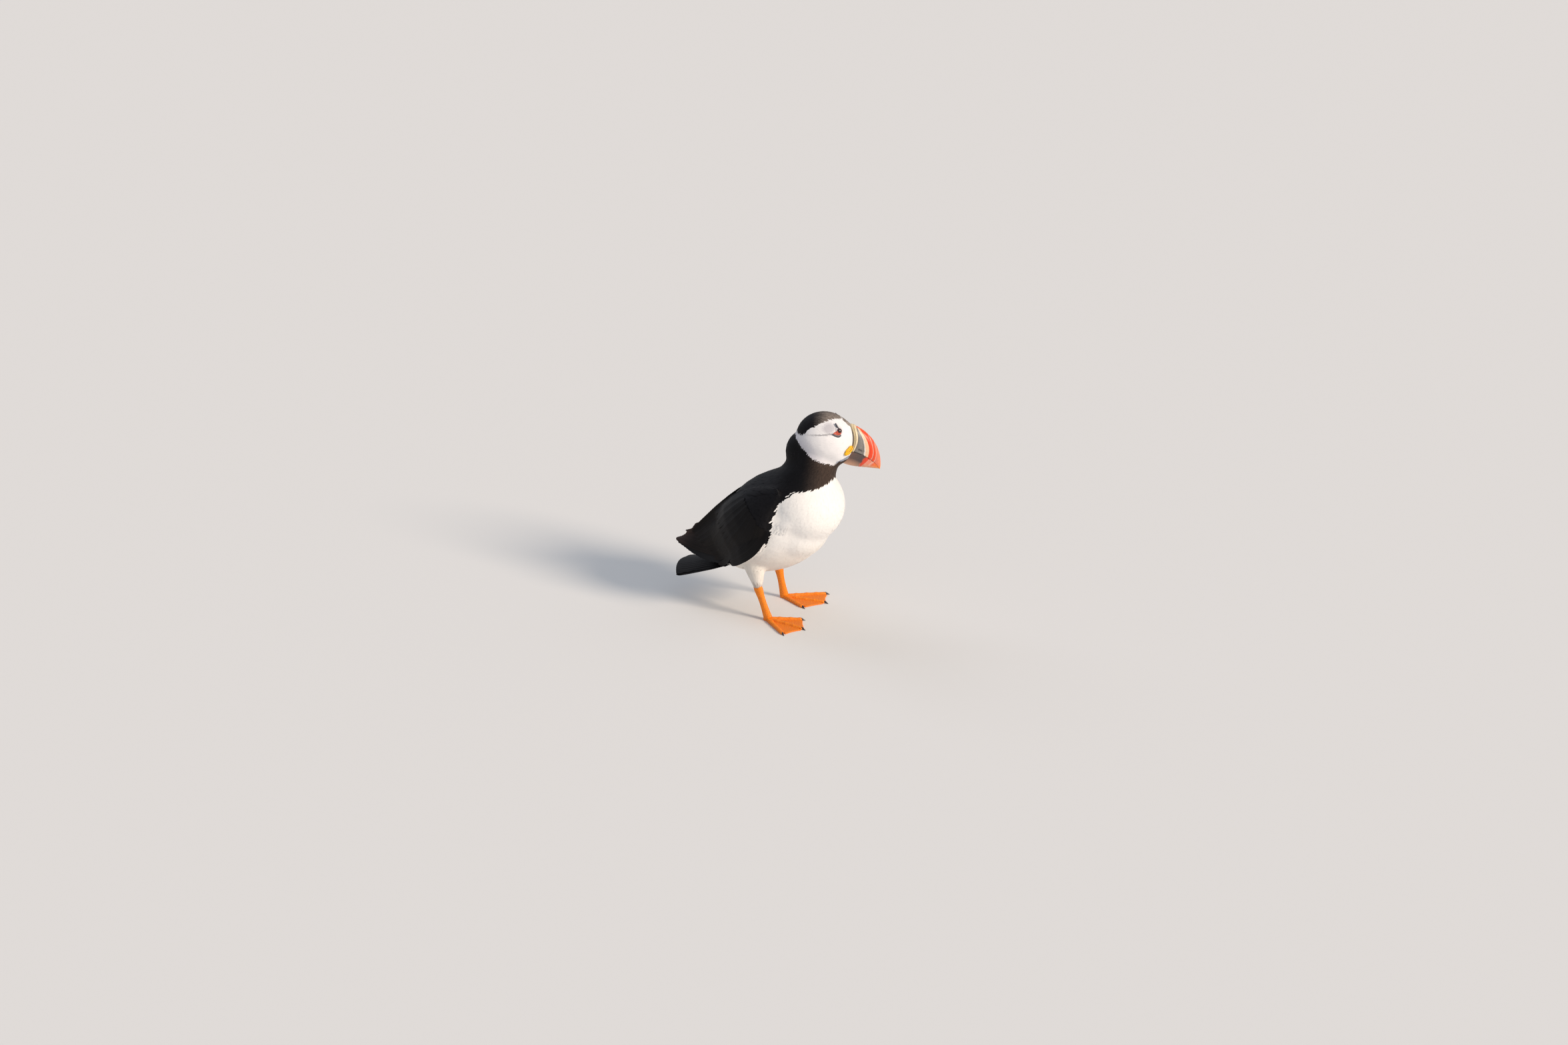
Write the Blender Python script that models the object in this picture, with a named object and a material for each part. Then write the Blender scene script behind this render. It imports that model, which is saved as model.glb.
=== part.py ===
"""Atlantic puffin: a still, life-size model of the standing bird.

Metres, +Z up. The bird faces -Y, its right side is at -X and its soles rest on Z = 0.
Places on the bird are given in millimetres as (side, ahead, up), with side positive to the
bird's left. The flesh is modelled whole from egg shapes, melted together and then parted by
thin cuts. The bill, eyes, wings, tail, legs and claws are solids of their own around it.
"""

from math import cos, pi, radians, sin, sqrt

import bmesh
import bpy
from mathutils import Matrix, Vector
from mathutils.bvhtree import BVHTree

MM = 0.001
GAP = 0.3 * MM  # left open between two pieces that touch
GAP_SHARE = 0.009  # the same gap as a share of the bill's length

# Melting the egg shapes into one body
MELT_VOXEL = 2.2 * MM
MELT_SMOOTH_STEPS = 14
FLESH_TRIANGLES = 2700

# Trunk: middle, half sizes (side, along, deep) and the angle by which the front end is raised
TRUNK_EGGS = {
    "body": ((0, 0, 90), (47, 61, 44), 42),
    "breast": ((0, 29, 111), (42.5, 38, 41), 60),
    "keel": ((0, 21, 88), (38, 34, 34), 50),
    "belly": ((0, -3, 70), (37, 55, 31), 17),
    "shoulders": ((0, 8, 120), (33, 32, 22), 36),
    "rump": ((0, -42, 69), (21, 36, 20), 37),
}
NECK_EGGS = {
    "neck base": ((0, 31, 134), (30, 32, 26), 40),
    "throat": ((1, 38, 148), (24, 25, 24), 60),
    "nape": ((1, 28, 160), (18, 17, 22), 0),
}

# Head: it is turned to the bird's left and has its own frame, (side, ahead, up) from its middle
HEAD_MIDDLE = (3, 49, 177.5)
HEAD_TURN = 22
HEAD_EGGS = {
    "skull": ((0, 0, 0.5), (21.5, 27.5, 25), -8),
    "face": ((0, 9, -8), (18.5, 19, 20), -20),
    "bill root": ((0, 16, -2), (10.5, 15, 20), 0),
}

# Cuts that part the flesh: a point on the cut and its slope, rising to the front
HEAD_CUT = ((0, 40, 153), -18)
NECK_CUT = ((0, 30, 135.5), -6)

# Bill, in the head's frame: control points of the side outlines, as (ahead, up)
CULMEN = ((24.5, 13.0), (44.0, 6.5), (54.5, -13.5), (51.8, -31.0))
MOUTH = ((20.0, -9.5), (30.0, -11.0), (42.0, -18.0), (50.9, -29.2))
GONYS = ((15.0, -24.0), (24.0, -30.0), (38.0, -29.0), (50.6, -31.4))
BILL_HALF_WIDTH = 8.6
BILL_TIP_HALF_WIDTH = 1.3
BILL_EDGE_SHARPNESS = 0.99  # 1 would bring the culmen and the keel to a knife's edge
BILL_TAPER = 0.8  # below 1, the bill stays wide until near its tip
BILL_ROUNDNESS = 2.6  # 2 would give it a round section, more a flat-sided one
BILL_BOW = 3.0  # each band of the bill bows towards the tip by this much
UPPER_MOUTH_START = 0.16  # the upper bill begins this far along the mouth line
BILL_RIDGE_END = 0.085  # share of the upper bill that the swollen ridge at its root takes
BILL_RIDGE_SWELL = 0.5
BILL_STEPS = 9
BILL_SIDE_STEPS = 6

# Eyes and what surrounds them, as (ahead, up) in the head's frame, set on the skin of each side
EYE_PLACE = (13.5, 11.5)
EYE_RADIUS = 4.6
EYE_DEPTH = 3.1  # from the skin to the eyeball's middle
EYE_FORWARD = 0.3  # how far the gaze leans forwards
EYE_UPWARD = 0.15  # and upwards
EYE_RING_RADIUS = 3.9
EYE_RING_THICKNESS = 0.85

BESIDE_HEAD = 60  # from the head's middle plane to a place well clear of its side

# Bare horn and skin set on the face: place, half sizes (thick, along, deep) and raised angle
FACE_PIECES = {
    "plate_above_eye": ((11.2, 17.0), (1.1, 1.3, 3.2), 18),
    "plate_below_eye": ((10.4, 6.4), (1.1, 3.6, 1.5), -30),
    "rosette": ((22.4, -8.8), (2.1, 6.0, 3.2), 36),
}

# Wings: edges of the folded right wing from shoulder to tip; the left wing mirrors them
WING_UPPER = ((-29, 16, 133), (-26, -8, 131), (-19, -33, 115), (-10, -57, 92), (-7, -78, 70), (-9, -95, 62))
WING_LOWER = ((-35, 21, 128), (-46, 11, 103), (-46, 3, 73), (-36, -26, 53), (-25, -62, 48), (-13, -94, 57))
WING_COVER = 4.2
WING_TIP_COVER = 1.6
WING_START = 0.4  # share of its thickness that the wing has at the shoulder
WING_SWELL_END = 0.2  # share of its length over which it swells to the full thickness
WING_CLEARANCE = 1.0  # under the wing, so that its flat facets miss the round body
WING_BULGE = 3.0
WING_BULGE_LOSS = 0.5  # share of the bulge that is gone at the tip
WING_EDGE_SHARE = 0.45  # share of its thickness that the wing keeps at its edges
WING_EDGE_BAND = 0.25  # share of its breadth over which it thickens from an edge
WING_STEPS = 15
WING_BREADTH_STEPS = 7

# Tail: a closed fan of feathers
TAIL_ROOT = (0, -36, 47)
TAIL_TIP = (0, -97, 31)
TAIL_ROLL = 9  # the fan is turned about its length, its left edge up
TAIL_ROOT_HALF_WIDTH = 13
TAIL_END_HALF_WIDTH = 20
TAIL_ROOT_THICKNESS = 8
TAIL_END_THICKNESS = 1.4
TAIL_THINNING = 0.7  # below 1, the tail thins mostly near its root
TAIL_SIDE_THINNING = 0.35  # share of its thickness that is gone at its sides
TAIL_ROUNDING = 0.05  # the outer feathers are shorter than the middle ones by this share
TAIL_ROOF = 3.5  # the middle feathers lie this much higher than the outer ones

# Legs: for each side the ankle, the heel and the way in which the middle toe points
LEGS = {
    "right": {"side": -1, "hip": (-23, -12, 58), "ankle": (-28, -5, 29), "heel": (-30, 4.5, 5), "turn": 15},
    "left": {"side": 1, "hip": (23, -14, 58), "ankle": (28, -7, 29), "heel": (30, -3, 5), "turn": 0},
}
THIGH_HALF_SIZES = (12.75, 16.5)  # side, and fore and aft, at the hip
ANKLE_HALF_SIZES = (4.4, 4.84)
THIGH_CURVE = 0.85  # below 1, the thigh narrows mostly near the hip
SHANK_INTO_THIGH = 3
SHANK_DEPTH = 6.6
SHANK_WIDTH = 4.4

# Feet: length and angle (outwards from the middle toe) of each toe, and the web between them
TOES = {"inner": (31, -35), "middle": (40, 0), "outer": (39, 32)}
TOE_RADIUS = 2.3
TOE_END_RADIUS = 1.8
TOE_RISE = 0.9  # height of a toe's axis over the flat sole
FOOT_BACK = (3.2, 4.0, 3.0)  # half sizes of the pad where the toes meet
WEB_THICKNESS = 1.2
WEB_BOTTOM = -1.0  # under the floor, where the sole is cut flat
WEB_REACH = 0.96  # share of the toes' length
WEB_SAG = 0.08  # the web's free edge curves in by this share of the toes' length
FOOT_VOXEL = 0.55 * MM
FOOT_TRIANGLES = 380
CLAW_LENGTH = 7.5
CLAW_RADIUS = 1.5
CLAW_DROOP = 1.0
CLAW_RISE = 0.5  # height of its root over the toe's axis
CLAW_TAPER = (0.82, 1.3)  # share of its radius lost at the tip, and how late
CLAW_NARROWNESS = 0.8


def place(side, ahead, up):
    """A place on the bird, in millimetres, as world metres."""
    return Vector((side, -ahead, up)) * MM


def head_frame():
    """The matrix from the head's own millimetres (side, -ahead, up) to world metres."""
    turn = Matrix.Rotation(radians(HEAD_TURN), 4, "Z")
    return Matrix.Translation(place(*HEAD_MIDDLE)) @ turn @ Matrix.Scale(MM, 4)


def on_head(side, ahead, up):
    """A place in the head's frame, as world metres."""
    return head_frame() @ Vector((side, -ahead, up))


def bezier(points, t):
    """A point at t on the cubic curve with these four control points."""
    shares = ((1 - t) ** 3, 3 * t * (1 - t) ** 2, 3 * t * t * (1 - t), t**3)
    return sum((Vector(p) * s for p, s in zip(points, shares)), Vector([0] * len(points[0])))


def smooth_path(points, t):
    """A point at t on a smooth curve through all of these points."""
    spans = len(points) - 1
    i = min(int(t * spans), spans - 1)
    local = t * spans - i
    before, a, b, after = (Vector(points[min(max(k, 0), spans)]) for k in (i - 1, i, i + 1, i + 2))
    start, end = (b - before) / 2, (after - a) / 2
    blend = local * local * (3 - 2 * local)
    rise = local * (1 - local) ** 2
    fall = local * local * (local - 1)
    return a * (1 - blend) + b * blend + start * rise + end * fall


def material(name, colour, roughness):
    """A plain material in an sRGB colour from 0 to 1."""
    made = bpy.data.materials.new(name)
    made.use_nodes = True
    shader = made.node_tree.nodes["Principled BSDF"]
    linear = [((c + 0.055) / 1.055) ** 2.4 if c > 0.04045 else c / 12.92 for c in colour]
    shader.inputs["Base Color"].default_value = (*linear, 1)
    shader.inputs["Roughness"].default_value = roughness
    made.diffuse_color = (*linear, 1)
    return made


def show(name, mesh, finish):
    """Put a mesh in the scene as a named sub-part."""
    mesh.name = name
    mesh.materials.clear()
    mesh.materials.append(finish)
    mesh.shade_smooth()
    mesh.set_sharp_from_angle(angle=radians(40))
    made = bpy.data.objects.new(name, mesh)
    bpy.context.collection.objects.link(made)
    return made


def mesh_of(bm):
    """Close a bmesh into a mesh with its faces pointing out."""
    bmesh.ops.recalc_face_normals(bm, faces=bm.faces)
    if bm.calc_volume(signed=True) < 0:
        bmesh.ops.reverse_faces(bm, faces=bm.faces)
    mesh = bpy.data.meshes.new("shape")
    bm.to_mesh(mesh)
    bm.free()
    return mesh


def egg(middle, half_sizes, raised, frame=None, segments=32, rings=20):
    """An ellipsoid mesh in millimetres; frame places it, or it lies in the bird's own frame."""
    bm = bmesh.new()
    bmesh.ops.create_uvsphere(bm, u_segments=segments, v_segments=rings, radius=1)
    side, along, deep = half_sizes
    sized = Matrix.Diagonal((side, along, deep, 1))
    pitched = Matrix.Rotation(radians(-raised), 4, "X")
    moved = Matrix.Translation((middle[0], -middle[1], middle[2]))
    world = frame if frame else Matrix.Scale(MM, 4)
    bmesh.ops.transform(bm, matrix=world @ moved @ pitched @ sized, verts=bm.verts)
    return mesh_of(bm)


def evaluated(mesh, *modifiers):
    """Apply modifiers, each a (kind, settings) pair, to a mesh and return the new mesh."""
    carrier = bpy.data.objects.new("carrier", mesh)
    bpy.context.collection.objects.link(carrier)
    for kind, settings in modifiers:
        added = carrier.modifiers.new(kind.title(), kind)
        for key, value in settings.items():
            setattr(added, key, value)
    depsgraph = bpy.context.evaluated_depsgraph_get()
    done = bpy.data.meshes.new_from_object(carrier.evaluated_get(depsgraph))
    bpy.data.objects.remove(carrier)
    return done


def joined(meshes):
    """Several meshes as one."""
    bm = bmesh.new()
    for mesh in meshes:
        bm.from_mesh(mesh)
    return mesh_of(bm)


def melted(meshes, triangles, voxel=MELT_VOXEL, smooth_steps=MELT_SMOOTH_STEPS):
    """Melt overlapping shapes into one smooth skin of about this many triangles."""
    smooth = evaluated(
        joined(meshes),
        ("REMESH", {"mode": "VOXEL", "voxel_size": voxel}),
        ("SMOOTH", {"factor": 0.5, "iterations": smooth_steps}),
        ("TRIANGULATE", {}),
    )
    share = triangles / len(smooth.polygons)
    return evaluated(smooth, ("DECIMATE", {"ratio": share}), ("TRIANGULATE", {}))


def grown(mesh, by=GAP):
    """A copy of a mesh, larger by this distance all round."""
    bm = bmesh.new()
    bm.from_mesh(mesh)
    bm.normal_update()
    moves = [(v, v.normal * by * v.calc_shell_factor()) for v in bm.verts]
    for vert, move in moves:
        vert.co += move
    return mesh_of(bm)


def largest_piece(mesh):
    """Drop the loose crumbs that a cut can leave, keeping the piece with the most faces."""
    bm = bmesh.new()
    bm.from_mesh(mesh)
    pieces, unseen = [], set(bm.verts)
    while unseen:
        piece, edge = set(), [unseen.pop()]
        while edge:
            vert = edge.pop()
            piece.add(vert)
            near = [e.other_vert(vert) for e in vert.link_edges]
            edge += [v for v in near if v in unseen]
            unseen.difference_update(near)
        pieces.append(piece)
    keep = max(pieces, key=len)
    bmesh.ops.delete(bm, geom=[v for v in bm.verts if v not in keep], context="VERTS")
    return mesh_of(bm)


def minus(mesh, *others):
    """Cut the grown shape of each other mesh out of a mesh."""
    for other in others:
        cutter = bpy.data.objects.new("cutter", grown(other))
        cutter.hide_render = True
        cutter.display_type = "WIRE"
        bpy.context.collection.objects.link(cutter)
        mesh = evaluated(mesh, ("BOOLEAN", {"operation": "DIFFERENCE", "solver": "EXACT", "object": cutter}))
        bpy.data.objects.remove(cutter)
    return largest_piece(mesh)


def side_of_cut(mesh, cut, above):
    """The part of a mesh above or below a sloping cut, capped, clear of the cut by half a gap."""
    point, slope = cut
    up = Matrix.Rotation(radians(-slope), 3, "X") @ Vector((0, 0, 1))
    away = up if above else -up
    bm = bmesh.new()
    bm.from_mesh(mesh)
    bmesh.ops.bisect_plane(
        bm,
        geom=bm.verts[:] + bm.edges[:] + bm.faces[:],
        plane_co=place(*point) + away * GAP / 2,
        plane_no=away,
        clear_inner=True,
    )
    rim = [e for e in bm.edges if e.is_boundary]
    bmesh.ops.triangle_fill(bm, edges=rim, use_beauty=True)
    return mesh_of(bm)


def lofted(rings):
    """A closed solid through rings of points, with a fan cap on each end."""
    bm = bmesh.new()
    loops = [[bm.verts.new(p) for p in ring] for ring in rings]
    for a, b in zip(loops, loops[1:]):
        for i in range(len(a)):
            j = (i + 1) % len(a)
            bm.faces.new((a[i], a[j], b[j], b[i]))
    bm.faces.new(loops[0][::-1])
    bm.faces.new(loops[-1])
    bmesh.ops.triangulate(bm, faces=[f for f in bm.faces if len(f.verts) > 4])
    return mesh_of(bm)


def slab(outer, inner):
    """A closed solid between two grids of points of the same size."""
    bm = bmesh.new()
    skins = [[[bm.verts.new(p) for p in row] for row in grid] for grid in (outer, inner)]
    rows, columns = len(outer), len(outer[0])
    for skin in skins:
        for i in range(rows - 1):
            for j in range(columns - 1):
                bm.faces.new((skin[i][j], skin[i][j + 1], skin[i + 1][j + 1], skin[i + 1][j]))
    rim = [(i, 0) for i in range(rows)] + [(rows - 1, j) for j in range(1, columns)]
    rim += [(i, columns - 1) for i in range(rows - 2, -1, -1)]
    rim += [(0, j) for j in range(columns - 2, 0, -1)]
    for (i, j), (k, m) in zip(rim, rim[1:] + rim[:1]):
        bm.faces.new((skins[0][i][j], skins[0][k][m], skins[1][k][m], skins[1][i][j]))
    return mesh_of(bm)


def mirrored(mesh, centre_x=0.0):
    """The mirror image of a mesh across the bird's middle plane."""
    bm = bmesh.new()
    bm.from_mesh(mesh)
    for vert in bm.verts:
        vert.co.x = 2 * centre_x - vert.co.x
    return mesh_of(bm)


def flesh():
    """Trunk, neck and head in one closed skin."""
    eggs = [egg(*sizes) for sizes in (*TRUNK_EGGS.values(), *NECK_EGGS.values())]
    eggs += [egg(*sizes, frame=head_frame()) for sizes in HEAD_EGGS.values()]
    return melted(eggs, FLESH_TRIANGLES)


def bill_section(t, edge, swell=0.0):
    """One ring of a half of the bill at t, from the mouth line to its outer edge and back."""
    upper = edge is CULMEN
    mouth = bezier(MOUTH, UPPER_MOUTH_START + (1 - UPPER_MOUTH_START) * t if upper else t)
    outer = bezier(edge, t)
    towards = (outer - mouth).normalized()
    mouth = mouth + towards * GAP / MM / 2
    outer = outer + towards * swell
    width = BILL_TIP_HALF_WIDTH + (BILL_HALF_WIDTH - BILL_TIP_HALF_WIDTH) * (1 - t) ** BILL_TAPER
    bow = BILL_BOW if upper else -BILL_BOW / 2
    side = []
    for k in range(BILL_SIDE_STEPS + 1):
        h = k / BILL_SIDE_STEPS
        along, up = mouth.lerp(outer, h)
        along += bow * sin(pi * h) * (1 - t)
        half = width * sqrt(1 - (BILL_EDGE_SHARPNESS * h) ** BILL_ROUNDNESS)
        side.append((half + swell, along, up))
    ring = [on_head(w, a, u) for w, a, u in side]
    return ring + [on_head(-w, a, u) for w, a, u in reversed(side)]


def bill_part(edge, start=0.0, end=1.0, swell=0.0):
    """The upper or lower bill between two shares of its length."""
    steps = max(2, round(BILL_STEPS * (end - start)))
    return lofted([bill_section(start + (end - start) * k / steps, edge, swell) for k in range(steps + 1)])


def skin_frame(body, side, ahead, up, gaze=None):
    """A frame in millimetres on the side of the head: outward or along a gaze, backward and up."""
    tree = BVHTree.FromPolygons([v.co for v in body.vertices], [p.vertices for p in body.polygons])
    far, inner = on_head(side * BESIDE_HEAD, ahead, up), on_head(0, ahead, up)
    point, outward, _, _ = tree.ray_cast(far, inner - far)
    if gaze:
        forward, upward = gaze
        outward = (head_frame().to_3x3() @ Vector((side, -forward, upward))).normalized()
    upward = Vector((0, 0, 1))
    upward = (upward - outward * upward.dot(outward)).normalized()
    backward = upward.cross(outward) * side
    axes = Matrix((outward, backward, upward)).transposed().to_4x4()
    return Matrix.Translation(point) @ axes @ Matrix.Scale(MM, 4)


def ring_mesh(frame, radius, thickness, segments=16, sides=6):
    """A plain round ring in a frame's second and third axes."""
    bm = bmesh.new()
    loops = []
    for i in range(segments):
        angle = 2 * pi * i / segments
        out = Vector((0, cos(angle), sin(angle)))
        turns = [2 * pi * j / sides for j in range(sides)]
        ring = [out * (radius + thickness * cos(a)) + Vector((thickness * sin(a), 0, 0)) for a in turns]
        loops.append([bm.verts.new(frame @ p) for p in ring])
    for a, b in zip(loops, loops[1:] + loops[:1]):
        for j in range(sides):
            k = (j + 1) % sides
            bm.faces.new((a[j], a[k], b[k], b[j]))
    return mesh_of(bm)


def wing(body):
    """The folded right wing: a curved blade lying on the body, free at its tip."""
    tree = BVHTree.FromPolygons([v.co for v in body.vertices], [p.vertices for p in body.polygons])
    outer, inner = [], []
    for i in range(WING_STEPS + 1):
        s = i / WING_STEPS
        low = place(*smooth_path(WING_LOWER, s))
        high = place(*smooth_path(WING_UPPER, s))
        cover = (WING_COVER + (WING_TIP_COVER - WING_COVER) * s) * MM
        cover *= WING_START + (1 - WING_START) * min(1.0, s / WING_SWELL_END)
        outer_row, inner_row = [], []
        for j in range(WING_BREADTH_STEPS + 1):
            t = j / WING_BREADTH_STEPS
            across = (high - low).normalized()
            outward = across.cross(Vector((0, 1, 0))).normalized()
            if outward.x > 0:
                outward = -outward
            point = low.lerp(high, t) + outward * WING_BULGE * MM * sin(pi * t) * (1 - WING_BULGE_LOSS * s)
            inside = min(1.0, min(t, 1 - t) / WING_EDGE_BAND) ** 0.5
            edge = WING_EDGE_SHARE + (1 - WING_EDGE_SHARE) * inside
            near, normal, _, _ = tree.find_nearest(point)
            lift = (point - near).dot(normal)
            want = cover * edge + WING_CLEARANCE * MM
            if lift < want:
                point = near + normal * want
                outward = normal
            outer_row.append(point)
            inner_row.append(point - outward * cover * edge)
        outer.append(outer_row)
        inner.append(inner_row)
    return slab(outer, inner)


def tail():
    """The tail: a flat fan that thins and widens to a rounded end."""
    root, tip = place(*TAIL_ROOT), place(*TAIL_TIP)
    axis = (tip - root).normalized()
    across = Matrix.Rotation(radians(-TAIL_ROLL), 3, axis) @ Vector((1, 0, 0))
    up = across.cross(axis)
    steps, breadth_steps = 8, 8
    length = (tip - root).length
    grids = ([], [])
    for i in range(steps + 1):
        s = i / steps
        rows = ([], [])
        for j in range(breadth_steps + 1):
            t = 2 * j / breadth_steps - 1
            half = TAIL_ROOT_HALF_WIDTH + (TAIL_END_HALF_WIDTH - TAIL_ROOT_HALF_WIDTH) * s
            rounded = 1 - TAIL_ROUNDING * s * t * t
            thick = TAIL_ROOT_THICKNESS + (TAIL_END_THICKNESS - TAIL_ROOT_THICKNESS) * s**TAIL_THINNING
            thick *= 1 - TAIL_SIDE_THINNING * abs(t)
            middle = root + axis * length * s * rounded + across * half * t * MM
            middle += up * TAIL_ROOF * (0.5 - t * t) * MM
            rows[0].append(middle + up * thick / 2 * MM)
            rows[1].append(middle - up * thick / 2 * MM)
        grids[0].append(rows[0])
        grids[1].append(rows[1])
    return slab(*grids)


def tapered_limb(start, end, start_radii, end_radii, sides=12, steps=6, curve=1.0):
    """A limb between two places, oval in section: radii are (side, fore and aft)."""
    axis = (end - start).normalized()
    across = Vector((1, 0, 0))
    fore = axis.cross(across).normalized()
    across = fore.cross(axis).normalized()
    rings = []
    for i in range(steps + 1):
        s = i / steps
        middle = start.lerp(end, s)
        radii = [(a + (b - a) * s**curve) * MM for a, b in zip(start_radii, end_radii)]
        ring = []
        for j in range(sides):
            angle = 2 * pi * j / sides
            ring.append(middle + across * radii[0] * cos(angle) + fore * radii[1] * sin(angle))
        rings.append(ring)
    return lofted(rings)


def thigh(leg):
    """The feathered thigh, from inside the belly down to the ankle."""
    hip, ankle = place(*leg["hip"]), place(*leg["ankle"])
    return tapered_limb(hip, ankle, THIGH_HALF_SIZES, ANKLE_HALF_SIZES, sides=16, steps=8, curve=THIGH_CURVE)


def shank(leg):
    """The bare shank between ankle and toes, narrow from side to side."""
    ankle, heel = place(*leg["ankle"]), place(*leg["heel"])
    radii = (SHANK_WIDTH / 2, SHANK_DEPTH / 2)
    top = ankle + (ankle - heel).normalized() * SHANK_INTO_THIGH * MM
    return tapered_limb(top, heel, radii, radii, sides=12, steps=4)


def toe_direction(leg, angle):
    """The way in which a toe points on the floor, for an angle outwards from the middle toe."""
    outwards = radians(leg["turn"] + angle)
    return Vector((leg["side"] * sin(outwards), -cos(outwards), 0))


def toe_places(leg, length, angle):
    """Both ends of a toe's axis."""
    start = place(*leg["heel"])
    start.z = TOE_RISE * MM
    return start, start + toe_direction(leg, angle) * length * MM


def web(leg, first, second):
    """The thin skin between two toes, with a free edge that curves in."""
    start = place(*leg["heel"])
    outline = [start - toe_direction(leg, (first[1] + second[1]) / 2) * MM]
    steps = 6
    for k in range(steps + 1):
        s = k / steps
        length = first[0] + (second[0] - first[0]) * s
        reach = length * (WEB_REACH - WEB_SAG * sin(pi * s))
        outline.append(start + toe_direction(leg, first[1] + (second[1] - first[1]) * s) * reach * MM)
    rings = [[Vector((p.x, p.y, z * MM)) for p in outline] for z in (WEB_BOTTOM, WEB_THICKNESS)]
    return lofted(rings)


def foot(leg):
    """Three webbed toes in one piece, cut flat below."""
    toes = list(TOES.values())
    heel = leg["heel"]
    pieces = [egg((heel[0], heel[1], TOE_RISE), FOOT_BACK, 0, segments=16, rings=10)]
    for length, angle in toes:
        start, end = toe_places(leg, length, angle)
        pieces.append(tapered_limb(start, end, (TOE_RADIUS,) * 2, (TOE_END_RADIUS,) * 2, sides=12))
        pieces.append(egg_at(end, TOE_END_RADIUS))
    pieces += [web(leg, *pair) for pair in zip(toes, toes[1:])]
    whole = melted(pieces, FOOT_TRIANGLES, FOOT_VOXEL, 4)
    return side_of_cut(whole, ((0, 0, -GAP / MM / 2), 0), above=True)


def egg_at(middle, radius):
    """A ball of a radius in millimetres at a place in the world."""
    return egg((0, 0, 0), (radius,) * 3, 0, Matrix.Translation(middle) @ Matrix.Scale(MM, 4), 12, 8)


def claw(leg, length, angle):
    """A short blunt claw that runs on from a toe's end and droops to the floor."""
    start, end = toe_places(leg, length, angle)
    way = (end - start).normalized()
    across = way.cross(Vector((0, 0, 1)))
    base = end + Vector((0, 0, CLAW_RISE * MM))
    rings, steps, sides = [], 3, 6
    for i in range(steps + 1):
        s = i / steps
        middle = base + way * CLAW_LENGTH * s * MM - Vector((0, 0, CLAW_DROOP * s * s * MM))
        radius = CLAW_RADIUS * (1 - CLAW_TAPER[0] * s ** CLAW_TAPER[1]) * MM
        turns = [2 * pi * j / sides for j in range(sides)]
        wide, high = across * radius * CLAW_NARROWNESS, Vector((0, 0, radius))
        rings.append([middle + wide * cos(a) + high * sin(a) for a in turns])
    return lofted(rings)


def bounds(objects):
    """Lowest and highest corner of all these objects."""
    corners = [v.co for thing in objects for v in thing.data.vertices]
    low = Vector([min(c[k] for c in corners) for k in range(3)])
    high = Vector([max(c[k] for c in corners) for k in range(3)])
    return low, high


FINISHES = {
    "white feathers": ("white contour feathers", (0.95, 0.94, 0.93), 0.8),
    "black feathers": ("black contour feathers", (0.05, 0.05, 0.06), 0.7),
    "quills": ("flight feathers", (0.10, 0.08, 0.07), 0.6),
    "horn": ("red horn of the bill", (0.93, 0.28, 0.10), 0.35),
    "lower horn": ("paler horn of the lower bill", (0.88, 0.45, 0.33), 0.35),
    "ridge": ("cream ridge of the bill", (0.80, 0.74, 0.60), 0.5),
    "eye": ("dark wet eye", (0.05, 0.03, 0.02), 0.05),
    "ring": ("red bare skin", (0.85, 0.28, 0.16), 0.45),
    "slate": ("slate horn plates", (0.35, 0.38, 0.42), 0.5),
    "rosette": ("yellow rosette skin", (0.96, 0.70, 0.05), 0.5),
    "legs": ("orange scaled skin", (1.0, 0.48, 0.05), 0.4),
    "claws": ("dark claw horn", (0.26, 0.23, 0.22), 0.35),
}


def show_face(body, finishes):
    """The head with its eyes, and the bill, plates and rosettes that are set on it."""
    head = side_of_cut(body, HEAD_CUT, above=True)
    upper = bill_part(CULMEN, BILL_RIDGE_END + GAP_SHARE, 1.0)
    ridge = bill_part(CULMEN, 0.0, BILL_RIDGE_END, BILL_RIDGE_SWELL)
    lower = bill_part(GONYS)
    for side_name, side in (("right", -1), ("left", 1)):
        frame = skin_frame(body, side, *EYE_PLACE, gaze=(EYE_FORWARD, EYE_UPWARD))
        ball = egg((-EYE_DEPTH, 0, 0), (EYE_RADIUS,) * 3, 0, frame, 12, 8)
        head = minus(head, ball)
        show(f"eye_{side_name}", ball, finishes["eye"])
        ring = minus(ring_mesh(frame, EYE_RING_RADIUS, EYE_RING_THICKNESS), body, ball)
        show(f"eye_ring_{side_name}", ring, finishes["ring"])
        for piece, (spot, sizes, raised) in FACE_PIECES.items():
            rosette = piece == "rosette"
            around = (body, lower, ridge) if rosette else (body, ball, ring)
            shape = minus(egg((0, 0, 0), sizes, raised, skin_frame(body, side, *spot), 10, 6), *around)
            show(f"{piece}_{side_name}", shape, finishes["rosette" if rosette else "slate"])
    show("head", head, finishes["white feathers"])
    show("bill_upper", minus(upper, body), finishes["horn"])
    show("bill_ridge", minus(ridge, body, lower), finishes["ridge"])
    show("bill_lower", minus(lower, body), finishes["lower horn"])


def show_body(body, finishes):
    """Trunk, neck, wings and tail; gives back the trunk, which the thighs are fitted to."""
    under = side_of_cut(body, HEAD_CUT, above=False)
    trunk = side_of_cut(under, NECK_CUT, above=False)
    show("neck", side_of_cut(under, NECK_CUT, above=True), finishes["black feathers"])
    show("trunk", trunk, finishes["white feathers"])
    right_wing = wing(body)
    show("wing_right", right_wing, finishes["quills"])
    show("wing_left", mirrored(right_wing), finishes["quills"])
    show("tail", minus(tail(), trunk), finishes["quills"])
    return trunk


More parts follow.
